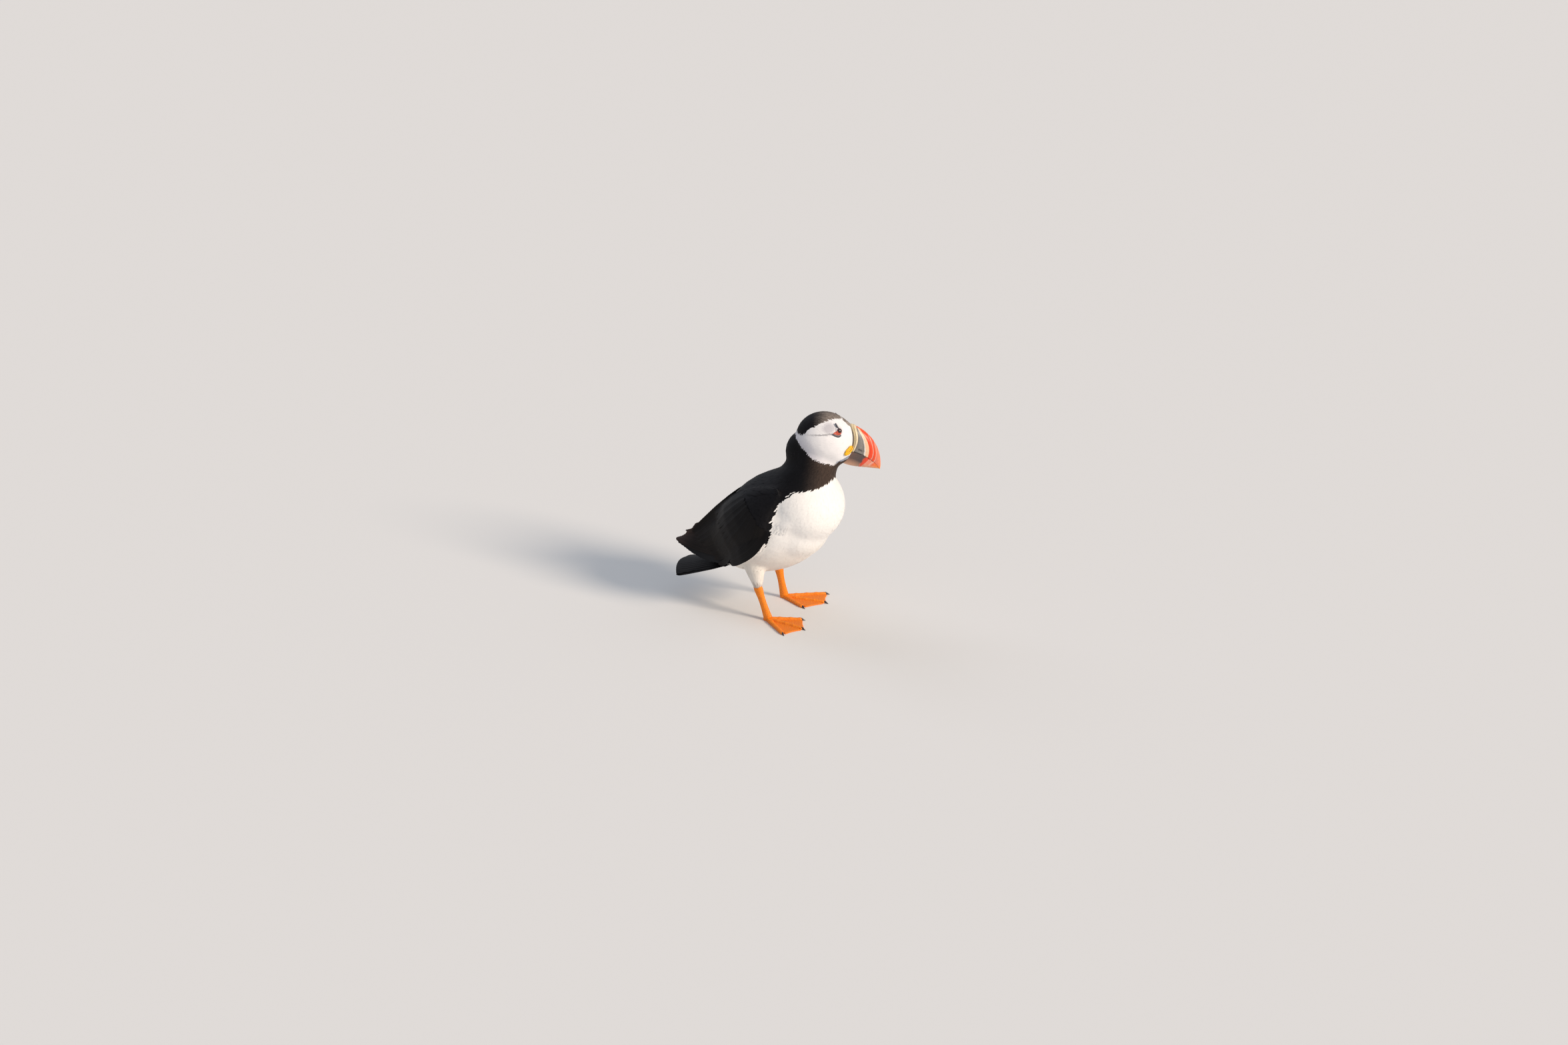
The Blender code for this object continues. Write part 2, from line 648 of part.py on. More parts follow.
def show_leg(side_name, leg, trunk, finishes):
    """One leg: thigh, shank, webbed foot and claws."""
    thigh_mesh, foot_mesh = minus(thigh(leg), trunk), foot(leg)
    show(f"thigh_{side_name}", thigh_mesh, finishes["white feathers"])
    show(f"shank_{side_name}", minus(shank(leg), thigh_mesh, foot_mesh), finishes["legs"])
    show(f"foot_{side_name}", foot_mesh, finishes["legs"])
    for toe_name, toe in TOES.items():
        show(f"claw_{toe_name}_{side_name}", minus(claw(leg, *toe), foot_mesh), finishes["claws"])


def main():
    for leftover in list(bpy.data.objects):
        bpy.data.objects.remove(leftover)
    finishes = {key: material(*values) for key, values in FINISHES.items()}
    body = flesh()
    trunk = show_body(body, finishes)
    show_face(body, finishes)
    for side_name, leg in LEGS.items():
        show_leg(side_name, leg, trunk, finishes)

    sub_parts = list(bpy.data.objects)
    low, high = bounds(sub_parts)
    for thing in sub_parts:
        shift = Matrix.Translation((-(low.x + high.x) / 2, -(low.y + high.y) / 2, -low.z))
        thing.data.transform(shift)


main()
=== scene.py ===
# %% [markdown]
# # A standing Atlantic puffin, life size
# This lesson dresses a finished solid model of a puffin. The solids give the true
# outline; here they get a skin, a coat of small feathers, flight feathers, a grooved
# bill, eyes, and scaled legs. Each step says what the real thing is, how it could be
# made, and why this way was chosen.

# %% Load the solids
from math import cos, pi, radians, sin

import bmesh
import bpy
import numpy as np
from mathutils import Matrix, Vector
from mathutils.bvhtree import BVHTree


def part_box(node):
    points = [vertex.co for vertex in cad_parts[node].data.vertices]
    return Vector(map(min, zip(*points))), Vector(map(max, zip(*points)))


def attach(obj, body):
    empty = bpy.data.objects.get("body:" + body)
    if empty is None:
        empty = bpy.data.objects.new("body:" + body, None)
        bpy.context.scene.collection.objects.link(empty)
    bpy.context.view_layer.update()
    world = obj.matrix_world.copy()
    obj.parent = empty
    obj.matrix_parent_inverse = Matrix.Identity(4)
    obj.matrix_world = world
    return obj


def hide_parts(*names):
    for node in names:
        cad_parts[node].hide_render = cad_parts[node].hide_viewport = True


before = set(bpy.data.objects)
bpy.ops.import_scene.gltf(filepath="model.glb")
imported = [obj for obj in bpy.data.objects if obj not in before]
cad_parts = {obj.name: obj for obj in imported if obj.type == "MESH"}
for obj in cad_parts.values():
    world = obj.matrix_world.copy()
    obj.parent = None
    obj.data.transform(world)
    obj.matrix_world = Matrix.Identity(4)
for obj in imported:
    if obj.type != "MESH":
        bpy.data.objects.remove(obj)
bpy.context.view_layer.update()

MM = 0.001

# %% [markdown]
# ## Two rulers on the bird
# Feathers and markings are placed by where they are on the animal, not in the room.
# One ruler belongs to the body and one to the head, which is turned. Both are found
# from the eyeballs, whose places the solids give. Each reads in millimetres: to the
# side (the bird's left is positive), ahead, and up.

# %% The body's and the head's own rulers
HEAD_TURN = 22  # degrees to the bird's left
EYES_IN_HEAD = (0, 12.618, 11.059)  # mm on the head's ruler, the middle between the eyeballs
HEAD_IN_BODY = (3, 49, 177.5)  # mm on the body's ruler, the zero of the head's ruler
BORDER_SLOPE = 0.25  # the border of head and neck drops by this much for each mm ahead
FLIP = np.array((1, -1, 1))  # the bird looks along -Y, so "ahead" is minus Y
SIDES = {"right": -1, "left": 1}  # and where each side of the bird is along X


def middle(node):
    """The middle of a solid's box."""
    low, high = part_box(node)
    return np.array((low + high) / 2)


HEAD_AXES = np.array(Matrix.Rotation(radians(HEAD_TURN), 3, "Z"))
between_eyes = (middle("eye_right") + middle("eye_left")) / 2
head_middle = between_eyes - HEAD_AXES @ (np.array(EYES_IN_HEAD) * FLIP) * MM
body_middle = head_middle - np.array(HEAD_IN_BODY) * FLIP * MM


def on_body(places):
    """Body millimetres (side, ahead, up) as places in the room."""
    return np.asarray(places, float) * FLIP * MM + body_middle


def on_head(places):
    """Head millimetres (side, ahead, up) as places in the room."""
    return (np.asarray(places, float) * FLIP * MM) @ HEAD_AXES.T + head_middle


def read_body(places):
    """Places in the room, read on the body's ruler."""
    return (places - body_middle) / MM * FLIP


def read_head(places):
    """Places in the room, read on the head's ruler."""
    return (places - head_middle) @ HEAD_AXES / MM * FLIP


def unit(vectors):
    """Vectors of length one."""
    return vectors / np.maximum(np.linalg.norm(vectors, axis=-1, keepdims=True), 1e-12)


def ramp(values, start, end):
    """0 before start, 1 after end, and a smooth rise between them."""
    share = np.clip((np.asarray(values, float) - start) / (end - start), 0, 1)
    return share * share * (3 - 2 * share)


def mix(start, end, share):
    """The way from start to end, gone by this share."""
    return start + (end - start) * share


def head_share(places, low, high):
    """0 on the body and 1 on the head, with a smooth border between these heights on the head."""
    _, ahead, up = read_head(places).T
    return ramp(up + BORDER_SLOPE * ahead, low, high)


print("head is at", np.round(head_middle / MM, 1), "mm")

# %% [markdown]
# ## Camera, light and floor
# The bird was seen from its right side, a little from above, through a long lens that
# flattens depth. A 300 mm lens at 12 m does the same. One large warm light stands low
# on the bird's front, and a wide cool one fills its flank, as a studio would do with
# two soft boxes. The floor is plain and pale.

# %% Camera
VIEW_AZIMUTH = -68
VIEW_ELEVATION = 21
VIEW_DISTANCE = 12.25
LENS = 300
AIM = (30.0, -2.7, 75.3)

turned, raised = radians(VIEW_AZIMUTH), radians(VIEW_ELEVATION)
towards_camera = Vector((sin(turned) * cos(raised), -cos(turned) * cos(raised), sin(raised)))
camera = bpy.data.objects.new("camera", bpy.data.cameras.new("camera"))
camera.data.lens = LENS
camera.data.clip_end = 60
camera.location = Vector(on_body(AIM)) + towards_camera * VIEW_DISTANCE
camera.rotation_mode = "QUATERNION"
camera.rotation_quaternion = (-towards_camera).to_track_quat("-Z", "Y")
bpy.context.scene.collection.objects.link(camera)
bpy.context.scene.camera = camera
bpy.context.scene.view_settings.view_transform = "Standard"
print("camera at", [round(x, 2) for x in camera.location])

# %% Colours and nodes
def linear(code):
    """An sRGB colour such as #ff8800 as the linear numbers that the shaders use."""
    parts = [int(code[k : k + 2], 16) / 255 for k in (1, 3, 5)]
    return [((c + 0.055) / 1.055) ** 2.4 if c > 0.04045 else c / 12.92 for c in parts] + [1.0]


def rgb(code):
    """The same colour as three numbers in an array, to store at the points of a mesh."""
    return np.array(linear(code)[:3])


def add(tree, kind, inputs=None, stops=None, **settings):
    """Adds one node with its settings; an input is a value or another node's output."""
    made = tree.nodes.new("ShaderNode" + kind)
    for name, value in settings.items():
        setattr(made, name, value)
    for name, value in (inputs or {}).items():
        if isinstance(value, bpy.types.NodeSocket):
            tree.links.new(value, made.inputs[name])
        else:
            made.inputs[name].default_value = linear(value) if isinstance(value, str) else value
    for k, (place, colour) in enumerate(stops or ()):
        stop = made.color_ramp.elements[k] if k < 2 else made.color_ramp.elements.new(place)
        stop.position, stop.color = place, linear(colour)
    return made


def finish(name, **shader):
    """A new material: its node tree and its shader, with typical values to start from."""
    made = bpy.data.materials.new(name)
    made.use_nodes = True
    made.node_tree.nodes.clear()
    values = {key.replace("_", " "): value for key, value in shader.items()}
    body = add(made.node_tree, "BsdfPrincipled", values)
    add(made.node_tree, "OutputMaterial", {"Surface": body.outputs[0]})
    return made, made.node_tree, body


print("mid grey #808080 is", round(linear("#808080")[0], 3), "of white's light")

# %% Lights and floor
LIGHTS = {
    "key_light": {"to": (-0.20, -0.90, 0.50), "strength": 3.0, "softness": 16, "colour": "#ffeedb"},
    "back_light": {"to": (0.35, 0.75, 0.62), "strength": 0.5, "softness": 40, "colour": "#eef2ff"},
}
FLOOR_COLOUR = "#e6e5e3"
FLOOR_SIZE = 60
AMBIENT = {"colour": "#e3e9f3", "strength": 0.52}
SEEN_WALL = "#dfdad7"


def soft_light(name, to, strength, softness, colour):
    """An even light from far away; softness is how wide it looks, in degrees."""
    lamp = bpy.data.lights.new(name, "SUN")
    lamp.angle, lamp.energy, lamp.color = radians(softness), strength, linear(colour)[:3]
    made = bpy.data.objects.new(name, lamp)
    made.rotation_euler = Vector(to).normalized().to_track_quat("Z", "Y").to_euler()
    bpy.context.scene.collection.objects.link(made)


for name, values in LIGHTS.items():
    soft_light(name, **values)
world = bpy.data.worlds.new("studio")
world.use_nodes = True
backdrop = world.node_tree
backdrop.nodes.clear()
ambient = add(backdrop, "Background", {"Color": AMBIENT["colour"], "Strength": AMBIENT["strength"]})
wall = add(backdrop, "Background", {"Color": SEEN_WALL, "Strength": 1.0})
ray = add(backdrop, "LightPath")
shares = {0: ray.outputs["Is Camera Ray"], 1: ambient.outputs[0], 2: wall.outputs[0]}
add(backdrop, "OutputWorld", {"Surface": add(backdrop, "MixShader", shares).outputs[0]})
bpy.context.scene.world = world

# uncoated paper: it scatters light evenly, so the shadow is soft and nothing is mirrored
paper, tree, shader = finish("matt_paper_floor", Roughness=0.95)
shader.inputs["Base Color"].default_value = linear(FLOOR_COLOUR)
half = FLOOR_SIZE / 2
floor_mesh = bpy.data.meshes.new("floor")
floor_corners = [(-half, -half, 0), (half, -half, 0), (half, half, 0), (-half, half, 0)]
floor_mesh.from_pydata(floor_corners, [], [(0, 1, 2, 3)])
floor_mesh.materials.append(paper)
floor = bpy.data.objects.new("floor", floor_mesh)
bpy.context.scene.collection.objects.link(floor)
print("lights:", list(LIGHTS))

# %% [markdown]
# ## Meshes from arrays
# A coat has thousands of small vanes. Adding them one by one would be slow, so each
# piece is worked out as arrays of points and faces and turned into one mesh.

# %% Arrays to meshes
def grid_faces(rows, columns, closed=False):
    """The faces between the points of a grid that is stored row by row."""
    r, c = np.meshgrid(np.arange(rows - 1), np.arange(columns if closed else columns - 1), indexing="ij")
    r, c = r.ravel(), c.ravel()
    d = (c + 1) % columns
    return np.stack([r * columns + c, r * columns + d, (r + 1) * columns + d, (r + 1) * columns + c], 1)


def mesh_from(name, points, faces):
    """A smooth mesh from arrays; all faces have as many corners."""
    mesh = bpy.data.meshes.new(name)
    mesh.vertices.add(len(points))
    mesh.vertices.foreach_set("co", np.asarray(points, np.float32).ravel())
    mesh.loops.add(faces.size)
    mesh.loops.foreach_set("vertex_index", np.asarray(faces, np.int32).ravel())
    mesh.polygons.add(len(faces))
    mesh.polygons.foreach_set("loop_start", np.arange(0, faces.size, faces.shape[1], dtype=np.int32))
    mesh.update(calc_edges=True)
    mesh.shade_smooth()
    return mesh


def keep_value(mesh, name, values):
    """Stores a number or a colour at each point, for the material to read."""
    values = np.asarray(values, np.float32)
    if values.ndim == 1:
        mesh.attributes.new(name, "FLOAT", "POINT").data.foreach_set("value", values)
    else:
        four = np.concatenate([values[:, :3], np.ones((len(values), 1), np.float32)], 1)
        mesh.attributes.new(name, "FLOAT_COLOR", "POINT").data.foreach_set("color", four.ravel())


def keep_map(mesh, name, places):
    """Stores a UV map that has one place for each point."""
    corners = np.empty(len(mesh.loops), np.int32)
    mesh.loops.foreach_get("vertex_index", corners)
    layer = mesh.uv_layers.new(name=name)
    layer.uv.foreach_set("vector", np.asarray(places, np.float32)[corners].ravel())


print("a grid of 4 by 5 points has", len(grid_faces(4, 5)), "faces")

# %% Meshes to pieces and back to arrays
def show(name, mesh, material, replaces=()):
    """Puts a mesh in the scene as a piece of the bird."""
    mesh.materials.clear()
    mesh.materials.append(material)
    made = bpy.data.objects.new(name, mesh)
    bpy.context.scene.collection.objects.link(made)
    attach(made, "root")
    if replaces:
        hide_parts(*replaces)


def through(mesh, *modifiers):
    """The mesh after some modifiers, each given as its kind and its settings."""
    thing = bpy.data.objects.new("making", mesh)
    bpy.context.scene.collection.objects.link(thing)
    for kind, settings in modifiers:
        modifier = thing.modifiers.new(kind, kind)
        for key, value in settings.items():
            setattr(modifier, key, value)
    made = bpy.data.meshes.new_from_object(thing.evaluated_get(bpy.context.evaluated_depsgraph_get()))
    bpy.data.objects.remove(thing)
    return made


def points_of(mesh):
    """A mesh's points as an array."""
    points = np.empty(len(mesh.vertices) * 3, np.float32)
    mesh.vertices.foreach_get("co", points)
    return points.reshape(-1, 3).astype(float)


def triangles_of(mesh):
    """A mesh's faces, all triangles, as an array."""
    mesh.calc_loop_triangles()
    corners = np.empty(len(mesh.loop_triangles) * 3, np.int32)
    mesh.loop_triangles.foreach_get("vertices", corners)
    return corners.reshape(-1, 3)


def solid_copy(names, grow=0.0):
    """Some solids as one new mesh, each grown by a little so that they run together."""
    bm = bmesh.new()
    for name in names:
        bm.from_mesh(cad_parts[name].data)
    bmesh.ops.remove_doubles(bm, verts=bm.verts, dist=0.00001)
    bm.normal_update()
    for vertex in bm.verts:
        vertex.co += vertex.normal * grow
    mesh = bpy.data.meshes.new("copy")
    bm.to_mesh(mesh)
    bm.free()
    return mesh


def tree_of(names):
    """A search tree over some solids."""
    mesh = solid_copy(names)
    return BVHTree.FromPolygons([v.co for v in mesh.vertices], [p.vertices for p in mesh.polygons])


print("the solid head has", len(triangles_of(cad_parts["head"].data)), "triangles")

# %% [markdown]
# ## The skin
# Under its feathers the bird is one closed body. The solids of head, neck, trunk,
# thighs, wings and tail are run together by a voxel remesh, smoothed, and drawn in by
# the depth of the coat that will lie on them. Where a wing or the tail is thin, the
# skin is drawn in by less, so that it never turns inside out.

# %% The solids of flesh run together
FLESH = ("head", "neck", "trunk", "thigh_right", "thigh_left", "wing_right", "wing_left", "tail")
SKIN_VOXEL = 1.1 * MM
RUN_TOGETHER = 0.35 * MM  # by which each solid grows first
PLUG_SIZES = (8 * MM, 8 * MM, 4 * MM)  # of the flat egg that fills each eye's socket
PLUG_DEPTH = 1.1 * MM  # from the middle of the solid eye inwards


def sockets_filled(mesh):
    """Adds a flat egg in each eye's socket, so that the cheek runs on under the lids."""
    bm = bmesh.new()
    bm.from_mesh(mesh)
    for word in SIDES:
        out = Vector(unit(middle("eye_ring_" + word) - middle("eye_" + word)))
        turned = out.to_track_quat("Z", "Y").to_matrix().to_4x4()
        place = Matrix.Translation(Vector(middle("eye_" + word)) - out * PLUG_DEPTH)
        egg = place @ turned @ Matrix.Diagonal((*PLUG_SIZES, 1))
        bmesh.ops.create_icosphere(bm, subdivisions=4, radius=1, matrix=egg)
    bm.to_mesh(mesh)
    bm.free()
    return mesh


rough = through(
    sockets_filled(solid_copy(FLESH, RUN_TOGETHER)),
    ("REMESH", {"mode": "VOXEL", "voxel_size": SKIN_VOXEL}),
    ("SMOOTH", {"factor": 0.5, "iterations": 5}),
)
skin_points, skin_faces = points_of(rough), triangles_of(rough)
print("run together:", len(skin_points), "points")

# %% Smooth normals
def gathered(of_face, faces, count):
    """At each of so many points, the sum of what the faces round it hold."""
    total = np.zeros((count, *of_face.shape[1:]))
    for k in range(3):
        np.add.at(total, faces[:, k], of_face)
    return total


def smooth_normals(points, faces, rounds=3):
    """Normals at the points, each averaged with its neighbours a few times."""
    a, b, c = (points[faces[:, k]] for k in range(3))
    normals = unit(gathered(np.cross(b - a, c - a), faces, len(points)))
    for _ in range(rounds):
        normals = unit(gathered(normals[faces].sum(1), faces, len(points)))
    return normals


normals = smooth_normals(skin_points, skin_faces)
print("normals:", len(normals))

# %% Drawn in by the coat's depth
COAT_DEPTH = {"head": 0.55, "body": 1.5}  # mm, and it changes smoothly on the neck
NECK_HEIGHTS = (-34, -22)  # mm on the head's ruler, where the body's coat turns into the head's
THIN_SHARE = 0.4  # of a thin part's thickness
RAY_START, RAY_REACH = 0.0001, 0.03  # metres, for the rays that measure the thickness
DEPTH_ROUNDS = 4  # of averaging with the neighbours
PUFF_PLACE, PUFF_SIZE = (27.0, 101.0), 5.5  # mm; the rounded tuft in front of each wing, ahead and up
PUFF_RISE = 1.7  # mm
PUFF_SIDE, FAR_AWAY = 20, 99  # mm; the tuft keeps this far from the bird's middle, and what keeps it off


def from_puff(places):
    """How far places are from the middle of the tuft on their side, in mm."""
    side, ahead, up = read_body(places).T
    away = np.hypot(ahead - PUFF_PLACE[0], up - PUFF_PLACE[1])
    return away + FAR_AWAY * (np.abs(side) < PUFF_SIDE)


whole_tree = BVHTree.FromPolygons(skin_points.tolist(), skin_faces.tolist())
depths = np.empty(len(skin_points))
for k, (point, normal) in enumerate(zip(skin_points.tolist(), normals.tolist())):
    start = Vector(point) - Vector(normal) * RAY_START
    hit = whole_tree.ray_cast(start, -Vector(normal), RAY_REACH)
    depths[k] = hit[3] if hit[0] else RAY_REACH
wanted = mix(COAT_DEPTH["body"], COAT_DEPTH["head"], head_share(skin_points, *NECK_HEIGHTS))
depths = np.minimum(wanted * MM, depths * THIN_SHARE)
faces_round = gathered(np.ones(len(skin_faces)), skin_faces, len(depths))
for _ in range(DEPTH_ROUNDS):
    depths = gathered(depths[skin_faces].mean(1), skin_faces, len(depths)) / np.maximum(faces_round, 1)
puff = PUFF_RISE * np.exp(-((from_puff(skin_points) / PUFF_SIZE) ** 2))
skin_points = skin_points - normals * (depths + RUN_TOGETHER - puff * MM)[:, None]
skin_normals = smooth_normals(skin_points, skin_faces)
face_normals = unit(skin_normals[skin_faces].mean(1))
skin_tree = BVHTree.FromPolygons(skin_points.tolist(), skin_faces.tolist())
print("skin:", len(skin_points), "points,", len(skin_faces), "triangles")

# %% [markdown]
# ## Markings
# A puffin is black above and white below. The black cap ends along a curved line over
# the eye, the white cheek is a rounded wedge that reaches the nape, and a black collar
# parts it from the white breast. Every line is written on the bird's own rulers, so
# that the skin and each feather can ask the same question: what colour is it here?

# %% Parts of the bird
GROUPS = ("head", "neck", "trunk", "wing", "tail", "thigh")
MEMBERS = {"wing": ("wing_right", "wing_left"), "thigh": ("thigh_right", "thigh_left")}
group_trees = [tree_of(MEMBERS.get(name, (name,))) for name in GROUPS]
BARE = [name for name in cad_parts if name.split("_")[0] in ("bill", "rosette", "shank")]
bare_tree = tree_of(BARE)
print("bare parts:", BARE)


def distances(tree, places):
    """How far some places are from a tree's surface, in mm."""
    return np.array([tree.find_nearest(p)[3] for p in places.tolist()]) / MM


def parts_at(places):
    """The number of the part that each place is nearest to."""
    return np.stack([distances(tree, places) for tree in group_trees], 1).argmin(1)

# %% [markdown]
# ### Lines and tones
# Each line below is a few points that are joined. Black meets white along it with a
# slight wobble, because no coat ends along a ruler. Inside black and white the tones
# still change: brown on the throat, partly painted sunlight; grey-brown flecks on the front
# of the cap, partly painted sunlight; grey over the eye; painted shade along the furrow
# behind the eye; and lilac towards the nape, partly painted shade.

# %% Where the bird is black and where it is white
# each line is given as (ahead, up) in mm, from the back of the bird to its front
CAP_LINE = ((-29, 7.0), (-21, 6.6), (-13, 14), (-5, 18.1), (3, 20.8), (10, 21.2), (16, 19.2), (26, 9.5))
CHEEK_LINE = ((-29, 7.0), (-26.5, 0.5), (-20, -7.4), (-13, -14.4), (-3, -19.2), (6, -22.6), (10, -23.6),
              (14, -19))
BODY_LINE = ((-70, 38), (-38, 46), (-28, 55), (-16, 70), (11, 84), (14, 104), (20, 122), (31, 131.5),
             (52, 134), (60, 139.5), (66, 146))
NAPE = -29  # mm ahead on the head, where the cheek's wedge ends
EDGE_SOFTNESS = {"head": 0.35, "body": 0.5}  # mm on each side of a line
EDGE_WOBBLE = {"cap": 0.3, "cheek": 0.4, "body": 1.3}  # mm by which a line wanders


def line_at(line, ahead):
    """The height of a line where the bird is this far ahead."""
    return np.interp(ahead, [p[0] for p in line], [p[1] for p in line])


def ripple(places, size):
    """A smooth irregular value from -1 to 1 that changes over about this many mm."""
    x, y, z = (places / size).T
    return (np.sin(x * 2.1 + 1.7 * np.sin(y * 1.3)) + np.sin(y * 1.9 + 1.5 * np.sin(z * 1.7))
            + np.sin(z * 2.3 + 1.3 * np.sin(x * 1.1))) / 3


def white_share(places, group=None):
    """1 where the plumage is white and 0 where it is black, and the same for the face alone."""
    _, ahead, up = read_head(places).T
    body = read_body(places)
    wobble = ripple(body, 3.0)
    under_cap = line_at(CAP_LINE, ahead) - up + EDGE_WOBBLE["cap"] * wobble
    over_cheek = up - line_at(CHEEK_LINE, ahead) + EDGE_WOBBLE["cheek"] * wobble
    inside = np.minimum(np.minimum(under_cap, over_cheek), (ahead - NAPE) * 2)
    face = ramp(inside, -EDGE_SOFTNESS["head"], EDGE_SOFTNESS["head"])
    below = line_at(BODY_LINE, body[:, 1]) - body[:, 2] + EDGE_WOBBLE["body"] * wobble
    breast = ramp(below, -EDGE_SOFTNESS["body"], EDGE_SOFTNESS["body"])
    if group is not None:  # wings and tail are black all over, and thighs are white
        breast = np.where(np.isin(group, (GROUPS.index("wing"), GROUPS.index("tail"))), 0, breast)
        breast = np.where(group == GROUPS.index("thigh"), 1, breast)
    return np.maximum(face, breast), face


cheek_nape_throat = on_head([[-18, 14, 0], [0, -29, 5], [0, 20, -40]])
print("white share on cheek, nape and throat:", np.round(white_share(cheek_nape_throat)[0], 2))

# %% The tones of black and white
# collar, brow and forehead are partly painted sunlight; lilac is partly painted shade; crease is painted
# shade in the furrow behind the eye
TONES = {
    "cap": "#100e13", "brow": "#a5988e", "forehead": "#bdb2a7", "collar": "#4b3d35", "back": "#0c0b0f",
    "face": "#f2f0f1", "lilac": "#b3b0be", "smudge": "#bdbac0", "crease": "#55525b",
    "breast": "#f7f5f2", "belly": "#efe9e0", "chin": "#8d95a6", "ankle": "#b9aea4",
}
TONE = {name: rgb(code) for name, code in TONES.items()}
# the spans, in mm, over which a tone sets in: on the body's ruler for collar, belly and ankle,
# and on the head's for the others
COLLAR_TONE = {"ahead": (36, 60), "up": (120, 134)}
BELLY_TONE, ANKLE_TONE = (85, 55), (38, 30)
HEAD_TONE, CAP_TONE = (-34, -24), (-12, 2)
BROW_TONE = {"ahead": (-12, 6), "up": (6, 12)}
FOREHEAD_TONE = {"ahead": (17, 25), "up": (4, 9)}
LILAC_TONE, LILAC_SLOPE = (4, 34), 0.8
SMUDGE_PLACE, SMUDGE_SIZE = (4.0, 14.6), (6.5, 5.2)  # the grey patch over the eye
CREASE_LINE, CHIN_LINE = ((-21, 7.6), (8.5, 9.8)), ((12.5, -20.5), (22.5, -16.2))
FLECK = 0.9  # mm, the size of the flecks on the brow


def near_line(ahead, up, start, end):
    """How far points of the head are from a straight line between two places, in mm."""
    start, end = np.array(start, float), np.array(end, float)
    way = end - start
    share = np.clip(((ahead - start[0]) * way[0] + (up - start[1]) * way[1]) / (way @ way), 0, 1)
    return np.hypot(ahead - start[0] - share * way[0], up - start[1] - share * way[1])


def plumage(places, group=None, chosen=None):
    """The colour of the plumage at some places; chosen says which of them are surely white."""
    _, ahead, up = read_head(places).T
    body = read_body(places)
    white, face = white_share(places, group)
    if chosen is not None:
        face = np.where(chosen, face / np.maximum(white, 1e-6), 0)
        white = chosen.astype(float)

    def mixed(first, second, share):
        return first * (1 - share[:, None]) + second * share[:, None]

    def plain(name):
        return np.tile(TONE[name], (len(places), 1))

    on_the_head = head_share(places, *HEAD_TONE)
    # the brown on the throat's front is partly the collar's own tint and partly painted sunlight
    throat = ramp(body[:, 1], *COLLAR_TONE["ahead"]) * ramp(body[:, 2], *COLLAR_TONE["up"])
    black = mixed(plain("back"), TONE["collar"], throat)
    black = mixed(black, TONE["cap"], on_the_head * ramp(up, *CAP_TONE))
    # the grey-brown flecks of the brow and the pale forehead are partly painted sunlight on the front of the
    # cap
    fleck = 0.5 + 0.5 * ripple(body, FLECK)
    brow = ramp(ahead, *BROW_TONE["ahead"]) * on_the_head * ramp(up, *BROW_TONE["up"]) * (0.5 + 0.5 * fleck)
    black = mixed(black, TONE["brow"], brow)
    forehead = ramp(ahead, *FOREHEAD_TONE["ahead"]) * on_the_head * ramp(up, *FOREHEAD_TONE["up"])
    black = mixed(black, TONE["forehead"], forehead * 0.85)

    pale = mixed(plain("breast"), TONE["belly"], ramp(body[:, 2], *BELLY_TONE))
    pale = mixed(pale, TONE["ankle"], ramp(body[:, 2], *ANKLE_TONE) * (1 - on_the_head))
    # the lilac towards the lower rear of the cheek is partly its own grey and partly painted shade
    cheek = mixed(plain("face"), TONE["lilac"], ramp(-ahead - LILAC_SLOPE * up, *LILAC_TONE) * 0.8)
    smudge = np.hypot((ahead - SMUDGE_PLACE[0]) / SMUDGE_SIZE[0], (up - SMUDGE_PLACE[1]) / SMUDGE_SIZE[1])
    cheek = mixed(cheek, TONE["smudge"], (1 - ramp(smudge, 0.45, 1.2)) * 0.8)
    # the dark line behind the eye is painted shade in the furrow there
    crease = near_line(ahead, up, *CREASE_LINE)
    cheek = mixed(cheek, TONE["crease"], (1 - ramp(crease, 0.2, 1.1)) * 0.6 * ramp(ahead, -24, -2))
    chin = near_line(ahead, up, *CHIN_LINE)
    cheek = mixed(cheek, TONE["chin"], 1 - ramp(chin, 1.0, 2.0))
    return mixed(mixed(black, pale, white), cheek, face)


print("plumage there:", np.round(plumage(cheek_nape_throat), 2).tolist())

# %% [markdown]
# ### What a feather's surface is
# A vane is keratin: rows of barbs, too fine to see one by one from a metre away, that
# leave a soft matt surface with a faint grain along the feather. Black feathers add a
# little sheen at a grazing angle. The colour of each vane comes from the markings, and
# the nodes add the barbs, drawn coarser than life so that they show.

# %% Feather and skin materials
BARB_SPACING = {"soft": 0.45, "stiff": 0.6}  # mm; real barbs are near 0.3 mm apart
BARB_SLOPE = 0.8  # how far a barb runs along the vane for each mm across it
MOTTLE, PORE = 6, 1.5  # mm, the size of paler patches on feathers, and of the skin's grain
NOISE_SPAN = {1: 0.3, 2: 0.7}  # inputs of a map: nearly all values of a noise lie between these
SINE_SPAN = {1: -1.0, 2: 1.0}


